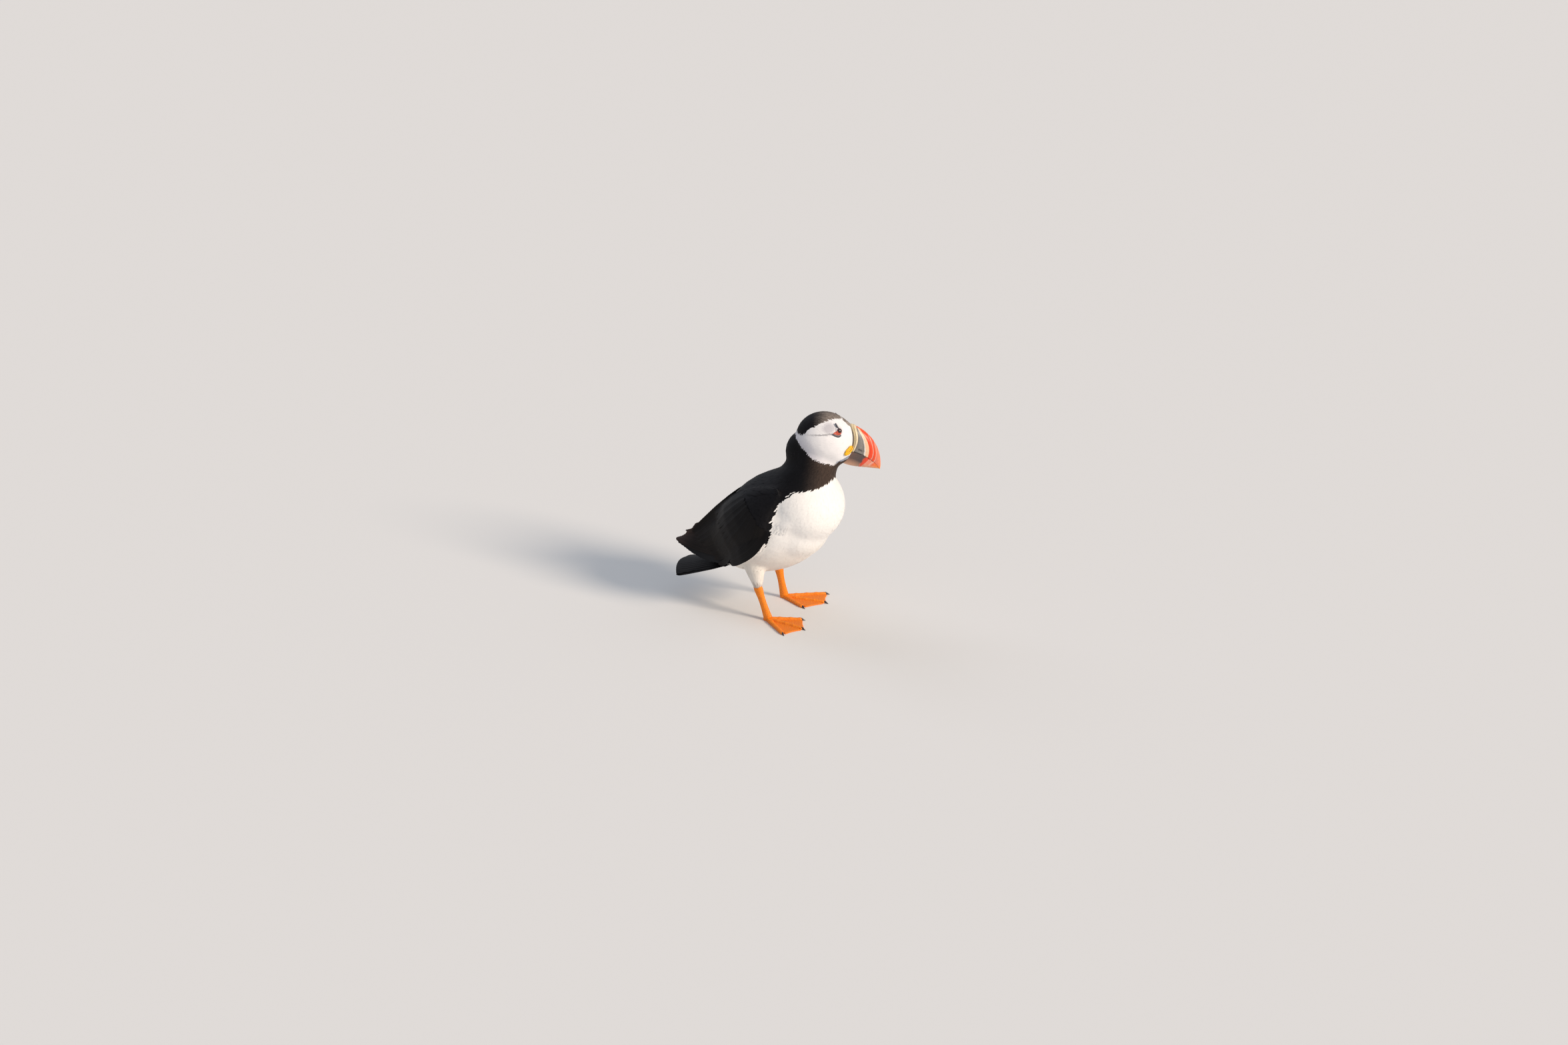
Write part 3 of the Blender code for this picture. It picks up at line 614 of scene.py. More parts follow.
def vane_finish(name, barbs, depth, **shader):
    """Feather keratin with grain along its barbs, in the colour that each vane carries."""
    made, tree, body = finish(name, **shader)
    colour = add(tree, "Attribute", attribute_name="plumage")
    mm = add(tree, "UVMap", uv_map="vane")
    parts = add(tree, "SeparateXYZ", {0: mm.outputs[0]})
    across = add(tree, "Math", {0: parts.outputs[0]}, operation="ABSOLUTE")
    slant = {0: across.outputs[0], 1: -BARB_SLOPE, 2: parts.outputs[1]}
    slanted = add(tree, "Math", slant, operation="MULTIPLY_ADD")
    phase = add(tree, "Math", {0: slanted.outputs[0], 1: 2 * pi / barbs}, operation="MULTIPLY")
    wave = add(tree, "Math", {0: phase.outputs[0]}, operation="SINE")
    place = add(tree, "TexCoord")
    patches = {"Vector": place.outputs["Object"], "Scale": 1 / (MOTTLE * MM), "Detail": 3.0}
    mottle = add(tree, "TexNoise", patches)
    grain = add(tree, "MapRange", {0: wave.outputs[0], **SINE_SPAN, 3: 1 - depth, 4: 1.0})
    patch = add(tree, "MapRange", {0: mottle.outputs[0], **NOISE_SPAN, 3: 1 - depth, 4: 1.0})
    both = add(tree, "Math", {0: grain.outputs[0], 1: patch.outputs[0]}, operation="MULTIPLY")
    toned = add(tree, "VectorMath", {0: colour.outputs["Color"], "Scale": both.outputs[0]}, operation="SCALE")
    tree.links.new(toned.outputs[0], body.inputs["Base Color"])
    bump = add(tree, "Bump", {"Strength": 0.2, "Distance": 0.03 * MM, "Height": wave.outputs[0]})
    tree.links.new(bump.outputs[0], body.inputs["Normal"])
    return made


# loose barbs without pigment: bright, with a pale sheen where they are seen from the side
down = vane_finish("white_down_barbs", BARB_SPACING["soft"], 0.025, Roughness=0.85, Sheen_Weight=0.25,
                   Sheen_Roughness=0.5)
# closed vanes full of melanin: near-black, and so fine-grained that they gloss only faintly
black_vane = vane_finish("black_melanin_vane", BARB_SPACING["soft"], 0.14, Roughness=0.62,
                         Specular_IOR_Level=0.16, Sheen_Weight=0.01, Sheen_Roughness=0.4)
# stiffer and smoother keratin, with wider barbs and a slightly tighter gloss
flight_vane = vane_finish("flight_feather_keratin", BARB_SPACING["stiff"], 0.15, Roughness=0.55,
                          Specular_IOR_Level=0.16, Sheen_Weight=0.01, Sheen_Roughness=0.4)

# the dense underdown on the skin, which shows only between feathers: matt, in the markings' tones
hide, tree, shader = finish("feathered_skin", Roughness=0.9)
colour = add(tree, "Attribute", attribute_name="plumage")
place = add(tree, "TexCoord")
pores = add(tree, "TexNoise", {"Vector": place.outputs["Object"], "Scale": 1 / (PORE * MM), "Detail": 4.0})
share = add(tree, "MapRange", {0: pores.outputs[0], **NOISE_SPAN, 3: 0.85, 4: 1.0})
toned = add(tree, "VectorMath", {0: colour.outputs["Color"], "Scale": share.outputs[0]}, operation="SCALE")
tree.links.new(toned.outputs[0], shader.inputs["Base Color"])

skin_mesh = mesh_from("skin", skin_points, skin_faces)
keep_value(skin_mesh, "plumage", plumage(skin_points, parts_at(skin_points)))
show("skin", skin_mesh, hide, FLESH)
print("materials:", [m.name for m in bpy.data.materials])

# %% [markdown]
# ## The coat
# Body feathers are small leaf-shaped vanes that overlap like roof tiles. Particle hair
# could draw them, but it isn't mesh. Here roots are scattered evenly over the skin, each
# vane is laid flat along the lie of the coat, and all its points are then settled on
# the skin at a height that grows from root to tip, so that each row covers the next.

# %% Roots for the feathers
chance = np.random.default_rng(7)


def scattered(count):
    """Random places all over the skin, the triangle of each and its shares of the corners."""
    a, b, c = (skin_points[skin_faces[:, k]] for k in range(3))
    sizes = np.linalg.norm(np.cross(b - a, c - a), axis=1)
    picked = chance.choice(len(sizes), count, p=sizes / sizes.sum())
    u, v = chance.random(count), chance.random(count)
    over = u + v > 1
    u[over], v[over] = 1 - u[over], 1 - v[over]
    shares = np.stack([1 - u - v, u, v], 1)
    return (skin_points[skin_faces[picked]] * shares[:, :, None]).sum(1), picked, shares


def spread(places, spacing):
    """Picks places, in the order given, that are no nearer than the spacing."""
    cells, kept = {}, []
    keys = np.floor(places / spacing).astype(int).tolist()
    for k, (key, place) in enumerate(zip(keys, places.tolist())):
        x, y, z = key
        near = (other for i in (x - 1, x, x + 1) for j in (y - 1, y, y + 1) for m in (z - 1, z, z + 1)
                for other in cells.get((i, j, m), ()))
        if all(sum((p - q) ** 2 for p, q in zip(place, other)) >= spacing * spacing for other in near):
            cells.setdefault((x, y, z), []).append(place)
            kept.append(k)
    return np.array(kept)


CANDIDATES = 140000
CLEAR_OF_EYE, CLEAR_OF_HORN = 4.0, 0.4  # mm from an eyeball's middle, and from any bare part

seeds, seed_faces, seed_shares = scattered(CANDIDATES)
seed_group = parts_at(seeds)
eye_gap = np.min([np.linalg.norm(seeds - middle("eye_" + word), axis=1) for word in SIDES], axis=0) / MM
clear = (distances(bare_tree, seeds) > CLEAR_OF_HORN) & (eye_gap > CLEAR_OF_EYE)
print("roots to choose from:", dict(zip(GROUPS, np.bincount(seed_group, minlength=len(GROUPS)).tolist())))

# %% The lie of the coat
# ways that feathers point on body, wings and thighs: to the side (on a wing, inwards), ahead and up
BODY_LIE, WING_LIE, THIGH_LIE = (0, -0.72, -0.69), (0.18, -0.86, -0.48), (0, 0.1, -1)
BILL_ROOT = (0, 25, -5)  # mm on the head's ruler; feathers of the head point away from here


def lie_of_coat(places, group):
    """The way in which feathers point: back from the bill, down the neck, back along the body."""
    head, body = read_head(places), read_body(places)
    from_bill = unit(head - BILL_ROOT)
    from_bill = unit(from_bill + np.outer(ramp(-head[:, 1], 4, 28) * 1.6, (0, 0, -1)))
    from_bill = (from_bill * FLIP) @ HEAD_AXES.T
    ways = np.tile(unit(np.array(BODY_LIE, float)), (len(places), 1))
    ways[:, 0] += 0.10 * np.sign(body[:, 0]) * ramp(np.abs(body[:, 0]), 4, 30)
    on_wing = group == GROUPS.index("wing")
    ways[on_wing] = unit(np.array(WING_LIE, float))
    ways[on_wing, 0] *= -np.sign(body[on_wing, 0])
    ways[group == GROUPS.index("thigh")] = unit(np.array(THIGH_LIE, float))
    ways = ways * FLIP
    up_share = head_share(places, -42, -22)[:, None]
    return unit(ways * (1 - up_share) + from_bill * up_share)


seed_ups = face_normals[seed_faces]
seed_lies = lie_of_coat(seeds, seed_group)
seed_lies = unit(seed_lies - seed_ups * (seed_lies * seed_ups).sum(1, keepdims=True))
print("the feathers of the crown point to", np.round(lie_of_coat(on_head([[0, 0, 24]]), np.zeros(1)), 2))

# %% [markdown]
# ### Black or white
# A feather is one colour, and what shows of it lies some way behind its root, over the
# roots of the next ones. So each root asks for the colour there, and then chooses black
# or white once. Along a border the choice falls both ways, which frays it as in life.

# %% Each feather's choice
SEEN_ALONG = {"head": 1.6, "body": 4.0}  # mm from a root to the part of its feather that shows

reach = mix(SEEN_ALONG["body"], SEEN_ALONG["head"], head_share(seeds, *NECK_HEIGHTS))
seen = seeds + seed_lies * reach[:, None] * MM
white = chance.random(CANDIDATES) < white_share(seen, seed_group)[0]
print("white feathers:", round(float(white.mean()), 2), "of all")

# %% The shape of a small vane
# an outline is how far along the vane, and the share of its half width there
LEAF = ((0.0, 0.35), (0.3, 0.9), (0.6, 1.0), (0.84, 0.86), (1.0, 0.5))
LOCK = ((0.0, 0.5), (0.3, 0.95), (0.65, 0.95), (1.0, 0.42))
STRANDS = np.array((-1.0, -0.5, 0.0, 0.5, 1.0))  # places across a vane
# how far each strand of a tip falls short, as a share of the vane
FRAY = {LEAF: (-0.12, -0.02, 0.02, -0.02, -0.12), LOCK: (-0.20, 0.03, -0.11, 0.0, -0.18)}
EYE_FEATHER = 0.9  # mm, the shortest feathers, at the rim of the eye
ROOT_HEIGHT = 0.05  # mm over the skin
CAMBER = 0.10  # how far a vane drops for each mm from its middle
SIZE_SPREAD, LIFT_SPREAD, FRAY_SPREAD = (0.85, 1.15), (0.8, 1.15), (0.4, 1.3)


def settled(flat, heights):
    """Flat points laid on the skin at their heights, and the skin's normals there."""
    spots, ups = np.empty_like(flat), np.empty_like(flat)
    for k, point in enumerate(flat.tolist()):
        near, _, face, _ = skin_tree.find_nearest(point)
        spots[k], ups[k] = near, face_normals[face]
    return spots + ups * heights[:, None], ups


def laid_vanes(picked, length, width, lift, leaf, spray, fray):
    """Vanes on these roots: their points, the skin's normals, and how far across and along they are."""
    count, (v, w) = len(picked), np.array(leaf).T
    roots, lies, ups = seeds[picked], seed_lies[picked], seed_ups[picked]
    sides = np.cross(lies, ups)
    swing = radians(1) * chance.normal(0, spray, count)[:, None]
    lies, sides = lies * np.cos(swing) + sides * np.sin(swing), sides * np.cos(swing) - lies * np.sin(swing)
    lengths = length * MM * chance.uniform(*SIZE_SPREAD, count)
    lengths = np.minimum(lengths, (EYE_FEATHER + np.maximum(eye_gap[picked] - CLEAR_OF_EYE, 0)) * MM)
    widths = width * MM * chance.uniform(*SIZE_SPREAD, count)
    strands = np.array(FRAY[leaf]) * fray * chance.uniform(*FRAY_SPREAD, (count, len(STRANDS)))
    share = v[:, None] * (1 + strands[:, None] * v[:, None] ** 2)
    along = lengths[:, None, None] * share
    across = widths[:, None, None] * w[:, None] * STRANDS
    flat = (roots[:, None, None] + lies[:, None, None] * along[..., None]
            + sides[:, None, None] * across[..., None])
    lifts = lift * MM * chance.uniform(*LIFT_SPREAD, count)[:, None, None]
    heights = ROOT_HEIGHT * MM + lifts * share**1.2 - CAMBER * np.abs(across)
    points, under = settled(flat.reshape(-1, 3), heights.ravel())
    return points.reshape(count, -1, 3), under.reshape(count, -1, 3), across, along


def lies_flat(points, under, quads):
    """Which vanes face outwards all over; the others fold over in a crease of the skin."""
    corners = points[:, quads]
    facing = np.cross(corners[:, :, 2] - corners[:, :, 0], corners[:, :, 3] - corners[:, :, 1])
    agree = (facing * under[:, quads[:, 0]]).sum(2)
    return (agree * np.sign(np.median(agree)) > 0).all(1)


print("strands across a vane:", len(STRANDS))

# %% A map for baking
PATCH = 0.003  # the width of a vane's own patch on its baking map
CUT_ANGLE, ISLAND_GAP = 66, 0.002  # degrees between faces where the unwrap is cut, and the gap it leaves


def unwrapped(faces, shares):
    """Places on an unwrap of the part of the skin that a coat grows on."""
    rows = np.nonzero(np.isin(skin_faces, skin_faces[np.unique(faces)]).any(1))[0]
    corners, renamed = np.unique(skin_faces[rows], return_inverse=True)
    mesh = mesh_from("unwrap", skin_points[corners], renamed.reshape(-1, 3))
    thing = bpy.data.objects.new("unwrap", mesh)
    bpy.context.scene.collection.objects.link(thing)
    bpy.context.view_layer.objects.active = thing
    thing.select_set(True)
    bpy.ops.object.mode_set(mode="EDIT")
    bpy.ops.mesh.select_all(action="SELECT")
    bpy.ops.uv.smart_project(angle_limit=radians(CUT_ANGLE), island_margin=ISLAND_GAP)
    bpy.ops.object.mode_set(mode="OBJECT")
    flat = np.empty(len(mesh.loops) * 2, np.float32)
    mesh.uv_layers[0].uv.foreach_get("vector", flat)
    flat = flat.reshape(-1, 3, 2)
    bpy.data.objects.remove(thing)
    found = (flat[np.searchsorted(rows, faces)] * shares[:, :, None]).sum(1)
    low, high = found.min(0), found.max(0)
    return 0.01 + 0.98 * (found - low) / np.maximum(high - low, 1e-6)


print("each vane's patch is", PATCH, "of the map's width")

# %% Building a coat
SOFT_SHADE = 0.8  # how much of the skin's shading a vane takes, so that the coat reads as one
TONE_LIMITS = (0.7, 1.3)


def coat(name, chosen, spacing, length, width, lift, leaf, material, slot, spray=6, dark_root=0.9,
         edge_highlight=0.0, tone_spread=0.05, fray=1.0):
    """Grows one coat piece on the chosen roots; sizes in mm, spray in degrees."""
    picked = np.nonzero(chosen)[0]
    picked = picked[spread(seeds[picked], spacing * MM)]
    parts = laid_vanes(picked, length, width, lift, leaf, spray, fray)
    quads = grid_faces(len(leaf), len(STRANDS))
    flat = lies_flat(*parts[:2], quads)
    picked, points, under, across, along = (part[flat] for part in (picked, *parts))
    count, size = points.shape[:2]
    faces = (quads[None] + np.arange(count)[:, None, None] * size).reshape(-1, 4)
    mesh = mesh_from(name, points.reshape(-1, 3), faces)

    v, w = np.array(leaf).T[:, :, None]
    tones = plumage(seen[picked], seed_group[picked], white[picked])
    tones = tones * chance.normal(1, tone_spread, (count, 1)).clip(*TONE_LIMITS)
    # the tips and edges of each vane are painted paler, as a painted highlight where light catches them
    edge = 1 + edge_highlight * (v**6 + 0.4 * np.abs(STRANDS) ** 2 * v**2)
    tones = tones[:, None, None] * (mix(dark_root, 1, ramp(v, 0.2, 0.8)) * edge)[..., None]
    keep_value(mesh, "plumage", np.clip(tones, 0, 1).reshape(-1, 3))
    keep_map(mesh, "vane", np.stack([across / MM, along / MM], -1).reshape(-1, 2))
    home = unwrapped(seed_faces[picked], seed_shares[picked])[:, None, None]
    patch = np.stack(np.broadcast_arrays(STRANDS * w * 0.5, v), -1) * PATCH
    keep_map(mesh, "OFBake", (home * (1 - PATCH) + patch + (PATCH / 2, 0)).reshape(-1, 2))

    own = np.empty(len(mesh.vertices) * 3, np.float32)
    mesh.vertex_normals.foreach_get("vector", own)
    soft = unit(under.reshape(-1, 3) * SOFT_SHADE + own.reshape(-1, 3) * (1 - SOFT_SHADE))
    mesh.normals_split_custom_set_from_vertices(soft.tolist())
    show(name, mesh, material)
    print(f"{name}: {count} vanes, {len(faces) * 2} triangles")

# %% [markdown]
# ### One coat for each part
# Real feathers are shortest round the eye and bill and longest on the flanks. The cheek
# is like velvet, the cap a little coarser, the mantle has broad round vanes, and the
# breast has narrow silky ones whose tips come apart.

# %% Where each coat grows
# all in mm on the body's ruler
COLLAR_UP, COLLAR_AHEAD = 118, 8  # the trunk's black feathers above and ahead of these are the collar's
BREAST_AHEAD = 14  # white feathers ahead of this are the breast's, and the others the belly's
UNDER_WING, UNDER_WING_AHEAD = 3, -24  # near the wing and behind this, belly feathers would poke through it
TAIL_COVERTS_AHEAD = -54  # behind this only the stiff feathers go on
SHOULDER, TO_WING_TIP, WING_LENGTH = (36, 21, 128), (-0.19, -0.86, -0.47), 135
SMALL_COVERTS = 0.42  # the share of the wing, from its shoulder, that has small coverts
SEAM, SEAM_UP, SEAM_AHEAD, SEAM_SIDE = 7, 92, 14, 34  # where scapulars bridge wing and back
FLANK, FLANK_AHEAD, FLANK_UP = 5, (2, 22), (72, 98)  # the white feathers that lap over the wing's edge


def is_on(*names):
    """Roots that are on these parts."""
    return np.isin(seed_group, [GROUPS.index(name) for name in names])


side, ahead, up = read_body(seeds).T
by_wing = distances(tree_of(MEMBERS["wing"]), seeds)
by_trunk = distances(tree_of(["trunk", "neck"]), seeds)
collar_part = is_on("neck") | (is_on("trunk") & (up > COLLAR_UP) & (ahead > COLLAR_AHEAD) & ~white)
breast_part = is_on("trunk", "neck") & white
under_wing = (by_wing < UNDER_WING) & (ahead < UNDER_WING_AHEAD)
on_wing = zip((np.abs(side), ahead, up), SHOULDER, TO_WING_TIP)
wing_share = sum((place - start) * way for place, start, way in on_wing) / WING_LENGTH
seam = (is_on("trunk") | is_on("wing")) & (by_wing < SEAM) & (by_trunk < SEAM) & ~white & (up > SEAM_UP)
seam &= (ahead < SEAM_AHEAD) & (np.abs(side) < SEAM_SIDE)
flank = is_on("trunk") & white & (by_wing < FLANK) & (ahead > FLANK_AHEAD[0]) & (ahead < FLANK_AHEAD[1])
flank &= (up > FLANK_UP[0]) & (up < FLANK_UP[1])
print("roots on the collar and the breast:", int(collar_part.sum()), int(breast_part.sum()))

# %% The coats
WHITE_DOWN = {"leaf": LOCK, "material": down, "slot": "white_feathers"}
BLACK_DOWN = {"leaf": LOCK, "material": black_vane, "slot": "black_feathers"}
BLACK_LEAVES = {"leaf": LEAF, "material": black_vane, "slot": "black_feathers"}

# the numbers are spacing, length, half width and lift, in mm
coat("face_feathers", clear & is_on("head") & white, 0.66, 2.8, 0.50, 0.10, **WHITE_DOWN,
     spray=6, dark_root=1.0, tone_spread=0.01, fray=0.25)
coat("cap_feathers", clear & is_on("head") & ~white, 0.80, 3.4, 0.56, 0.22, **BLACK_DOWN,
     spray=9, tone_spread=0.14)
coat("collar_feathers", clear & collar_part & ~is_on("head") & ~white, 1.05, 5.2, 0.82, 0.36, **BLACK_DOWN,
     spray=9, tone_spread=0.1)
coat("breast_feathers", clear & breast_part & (ahead > BREAST_AHEAD), 1.05, 8, 0.95, 0.26, **WHITE_DOWN,
     spray=8, dark_root=1.0, tone_spread=0.01, fray=0.4)
coat("belly_feathers", clear & breast_part & (ahead <= BREAST_AHEAD) & ~under_wing, 1.1, 9, 1.0, 0.30,
     **WHITE_DOWN, spray=9, dark_root=0.99, tone_spread=0.01, fray=0.45)
coat("thigh_feathers", clear & is_on("thigh"), 1.05, 6, 0.8, 0.32, **WHITE_DOWN,
     spray=10, dark_root=0.98, tone_spread=0.015)
coat("tail_covert_feathers", clear & is_on("tail") & (ahead > TAIL_COVERTS_AHEAD), 1.7, 7, 1.7, 0.6,
     **BLACK_LEAVES, spray=6, tone_spread=0.08)
coat("wing_covert_feathers", clear & is_on("wing") & (wing_share < SMALL_COVERTS), 1.9, 8.5, 2.1, 0.65,
     **BLACK_LEAVES, spray=5, edge_highlight=0.4, tone_spread=0.08)
coat("back_feathers", clear & is_on("trunk") & ~collar_part & ~white, 2.0, 10, 2.2, 0.8, **BLACK_LEAVES,
     spray=6, edge_highlight=0.3, tone_spread=0.08)
coat("scapular_feathers", clear & seam, 2.6, 15, 2.9, 1.3, **BLACK_LEAVES,
     spray=5, edge_highlight=0.3, tone_spread=0.08)
coat("flank_puff", clear & is_on("trunk") & white & (from_puff(seeds) < PUFF_SIZE), 0.95, 7, 0.9, 1.0,
     **WHITE_DOWN, spray=10, dark_root=0.96, tone_spread=0.015)
coat("flank_feathers", clear & flank, 1.2, 8.5, 1.2, 1.1, **WHITE_DOWN,
     spray=9, dark_root=0.97, tone_spread=0.015)

# %% [markdown]
# ## Flight feathers
# A folded wing is a stack of long stiff vanes. The long primaries lie lowest and reach
# the tip, the secondaries cover their roots, and rows of coverts cover both. Each vane
# here is a long leaf with a raised shaft. It is given by where its root and tip are on
# the wing, from shoulder to tip and from lower to upper edge, and laid on the solid wing.

# %% The wing as a surface
# points along the upper and the lower edge, from shoulder to tip, in mm on the body's ruler
WING_TOP = ((-29, 16, 133), (-26, -8, 131), (-19, -33, 115), (-10, -57, 92), (-7, -78, 70), (-9, -95, 62))
WING_BOTTOM = ((-35, 21, 128), (-46, 11, 103), (-46, 3, 73), (-36, -26, 53), (-25, -62, 48), (-13, -94, 57))
WING_SINK = (0.9, -0.35)  # mm under the solid's face for the lowest vanes, at the shoulder and the tip
TUCKED = 0.7  # mm by which a root lies deeper than its tip, under the row before


def path_at(points, t):
    """Places on a smooth path through these points."""
    points = np.asarray(points, float)
    spans = len(points) - 1
    i = np.clip((t * spans).astype(int), 0, spans - 1)
    x = (t * spans - i)[..., None]
    before, a, b, after = (points[np.clip(i + k, 0, spans)] for k in (-1, 0, 1, 2))
    blend = x * x * (3 - 2 * x)
    bend = (b - before) / 2 * x * (1 - x) ** 2
    return a * (1 - blend) + b * blend + bend + (after - a) / 2 * x * x * (x - 1)


def wing_places(side, s, t):
    """Places near a wing's outer face; side is -1 or 1."""
    low, high = (on_body(path_at(edge, s) * (-side, 1, 1)) for edge in (WING_BOTTOM, WING_TOP))
    return low + (high - low) * t[..., None]


def wing_ruler(side):
    """A flat ruler for a wing: its origin, and the ways along, across and out from it."""
    low, high = (on_body(np.array(edge, float) * (-side, 1, 1)) for edge in (WING_BOTTOM, WING_TOP))
    along = unit((low + high)[-1] - (low + high)[0])
    across = (high - low).mean(0)
    across = unit(across - along * (across @ along))
    out = np.cross(along, across)
    return low[0], along, across, out * np.sign(out[0] * side)


FACE_STEP, FACE_LONG, FACE_WIDE = 1.0, (-12, 150), (-30, 62)  # mm, of the map of a wing's face
FACE_RAY = 0.06  # metres from the ruler, outwards, from where rays look for the face
FILL_ROUNDS, SMOOTH_ROUNDS = 156, 4


def wing_face(word):
    """Gives back a function that moves places onto a wing's outer face, run on past its edges."""
    start, along, across, out = wing_ruler(SIDES[word])
    tree = tree_of(["wing_" + word])
    a, b = np.arange(*FACE_LONG, FACE_STEP), np.arange(*FACE_WIDE, FACE_STEP)
    flat = start + (along * a[:, None, None] + across * b[None, :, None]) * MM
    face = np.full((len(a), len(b)), np.nan)
    for i, row in enumerate(flat.tolist()):
        for j, place in enumerate(row):
            hit = tree.ray_cast(Vector(place) + Vector(out) * FACE_RAY, -Vector(out), 2 * FACE_RAY)[0]
            if hit:
                face[i, j] = (np.array(hit) - place) @ out
    known = ~np.isnan(face)
    face = np.where(known, face, np.nanmean(face))
    steps = ((1, 0), (-1, 0), (0, 1), (0, -1))
    for n in range(FILL_ROUNDS + SMOOTH_ROUNDS):  # the first ones carry the face on past its edges
        mean = sum(np.roll(face, step, (0, 1)) for step in steps) / 4
        face = np.where(known, face, mean) if n < FILL_ROUNDS else (face + mean) / 2

    def onto(places):
        way = (places - start) / MM
        i = np.clip((way @ along - a[0]) / FACE_STEP, 0, len(a) - 1.001)
        j = np.clip((way @ across - b[0]) / FACE_STEP, 0, len(b) - 1.001)
        x, y = i - np.floor(i), j - np.floor(j)
        i, j = i.astype(int), j.astype(int)
        level = (face[i, j] * (1 - x) * (1 - y) + face[i + 1, j] * x * (1 - y)
                 + face[i, j + 1] * (1 - x) * y + face[i + 1, j + 1] * x * y)
        return places + out * (level - (places - start) @ out)[:, None]

    return onto, out


print("a wing's map has a place for each", FACE_STEP, "mm")

# %% One long vane
VANE = ((0.0, 0.45), (0.06, 0.7), (0.15, 0.88), (0.3, 1.0), (0.5, 1.0), (0.66, 0.98), (0.78, 0.93),
        (0.87, 0.82), (0.93, 0.64), (0.97, 0.42), (0.99, 0.24), (1.0, 0.05))
VANE_ALONG = np.linspace(0, 1, 34) ** 0.9  # rows of points, a little closer towards the tip
VANE_ACROSS = np.array((-1, -0.82, -0.6, -0.35, -0.12, 0, 0.12, 0.35, 0.6, 0.82, 1.0))
SHAFT_RISE, VANE_CAMBER = 0.16, -0.035  # mm, and mm for each mm of half width
TONE_SPREAD = (0.85, 1.2)


def own_tone(code):
    """This colour, a little darker or paler, as each feather differs from the next."""
    return rgb(code) * chance.uniform(*TONE_SPREAD)


def vane_grid(middles, sides, outs, width, heights, outline=VANE):
    """The points of one long vane about its shaft, before they are laid."""
    share = np.interp(VANE_ALONG, *np.array(outline).T)
    across = width * MM * share[:, None] * VANE_ACROSS[None]
    points = middles[:, None] + sides[:, None] * across[..., None]
    ridge = SHAFT_RISE * np.exp(-((VANE_ACROSS / 0.1) ** 2))
    camber = VANE_CAMBER * width * VANE_ACROSS**2
    rise = heights[:, None] + (ridge + camber)[None] * share[:, None]
    return points, np.broadcast_to(outs[:, None], points.shape), rise, across


def vane_piece(name, grids, tones, onto=None, edge=0.0, worn=0.0):
    """Joins long vanes into one piece, with a baking map that gives each its own strip."""
    v, columns = VANE_ALONG[:, None], len(VANE_ACROSS)
    quads = grid_faces(len(v), columns)
    # rim paints each vane's edges and tip paler, as a painted highlight where light catches them
    rim = np.maximum(np.abs(VANE_ACROSS)[None] ** 10, v**30) * (0.25 + 0.75 * v)
    shaft = np.exp(-((VANE_ACROSS / 0.09) ** 2))[None] * 0.35
    shade = (1 + edge * rim + shaft) * (0.8 + 0.2 * v) * (1 + worn * ramp(v, 0.7, 0.95))
    points, faces, colours, vane_map, bake_map = [], [], [], [], []
    for k, ((flat, out, rise, across), tone) in enumerate(zip(grids, tones)):
        placed = onto(flat.reshape(-1, 3)) if onto else flat.reshape(-1, 3)
        points.append(placed + out.reshape(-1, 3) * rise.reshape(-1, 1) * MM)
        faces.append(quads + k * len(v) * columns)
        colours.append(np.clip(tone * shade[..., None], 0, 1).reshape(-1, 3))
        length = np.linalg.norm(np.diff(flat[:, columns // 2], axis=0), axis=1).sum() / MM
        vane_map.append(np.stack(np.broadcast_arrays(across / MM, v * length), -1).reshape(-1, 2))
        strip = (k + 0.5 + 0.42 * VANE_ACROSS) / len(grids)
        bake_map.append(np.stack(np.broadcast_arrays(strip[None], 0.02 + 0.96 * v), -1).reshape(-1, 2))
    mesh = mesh_from(name, np.concatenate(points), np.concatenate(faces))
    keep_value(mesh, "plumage", np.concatenate(colours))
    keep_map(mesh, "vane", np.concatenate(vane_map))
    keep_map(mesh, "OFBake", np.concatenate(bake_map))
    show(name, mesh, flight_vane)
    print(f"{name}: {len(grids)} vanes, {len(mesh.polygons) * 2} triangles")

# %% The rows of the wing
# for each row: how many vanes; from the first vane to the last, where the root and the tip are
# (share of the wing's length, share from its lower to its upper edge); half width and height in mm;
# tone; how much paler its edges are, as a painted highlight where light catches them; and how
# much paler its worn tip is
WING_ROWS = {
    "primary_feathers": {
        "count": 10, "root": ((0.42, -0.02), (0.50, 0.55)), "tip": ((1.0, 0.75), (0.86, 1.05)),
        "width": 3.3, "height": (0.0, 0.5), "tone": "#1a1311", "edge": 1.5, "worn": 2.4},
    "secondary_feathers": {
        "count": 9, "root": ((0.36, 0.30), (0.42, 0.98)), "tip": ((0.70, 0.02), (0.81, 0.97)),
        "width": 3.6, "height": (0.55, 1.0), "tone": "#120d0b", "edge": 1.2, "worn": 0.3},
    "primary_covert_feathers": {
        "count": 6, "root": ((0.24, -0.03), (0.30, 0.42)), "tip": ((0.58, -0.02), (0.56, 0.26)),
        "width": 3.3, "height": (0.7, 0.95), "tone": "#100c0b", "edge": 0.8, "worn": 0.0},
    "greater_covert_feathers": {
        "count": 9, "root": ((0.26, 0.28), (0.30, 0.97)), "tip": ((0.52, 0.12), (0.60, 0.95)),
        "width": 3.5, "height": (0.95, 1.3), "tone": "#0e0b0c", "edge": 1.0, "worn": 0.0},
}
TIP_STRAY = 0.004  # how far a tip strays from its row, as a share of the wing


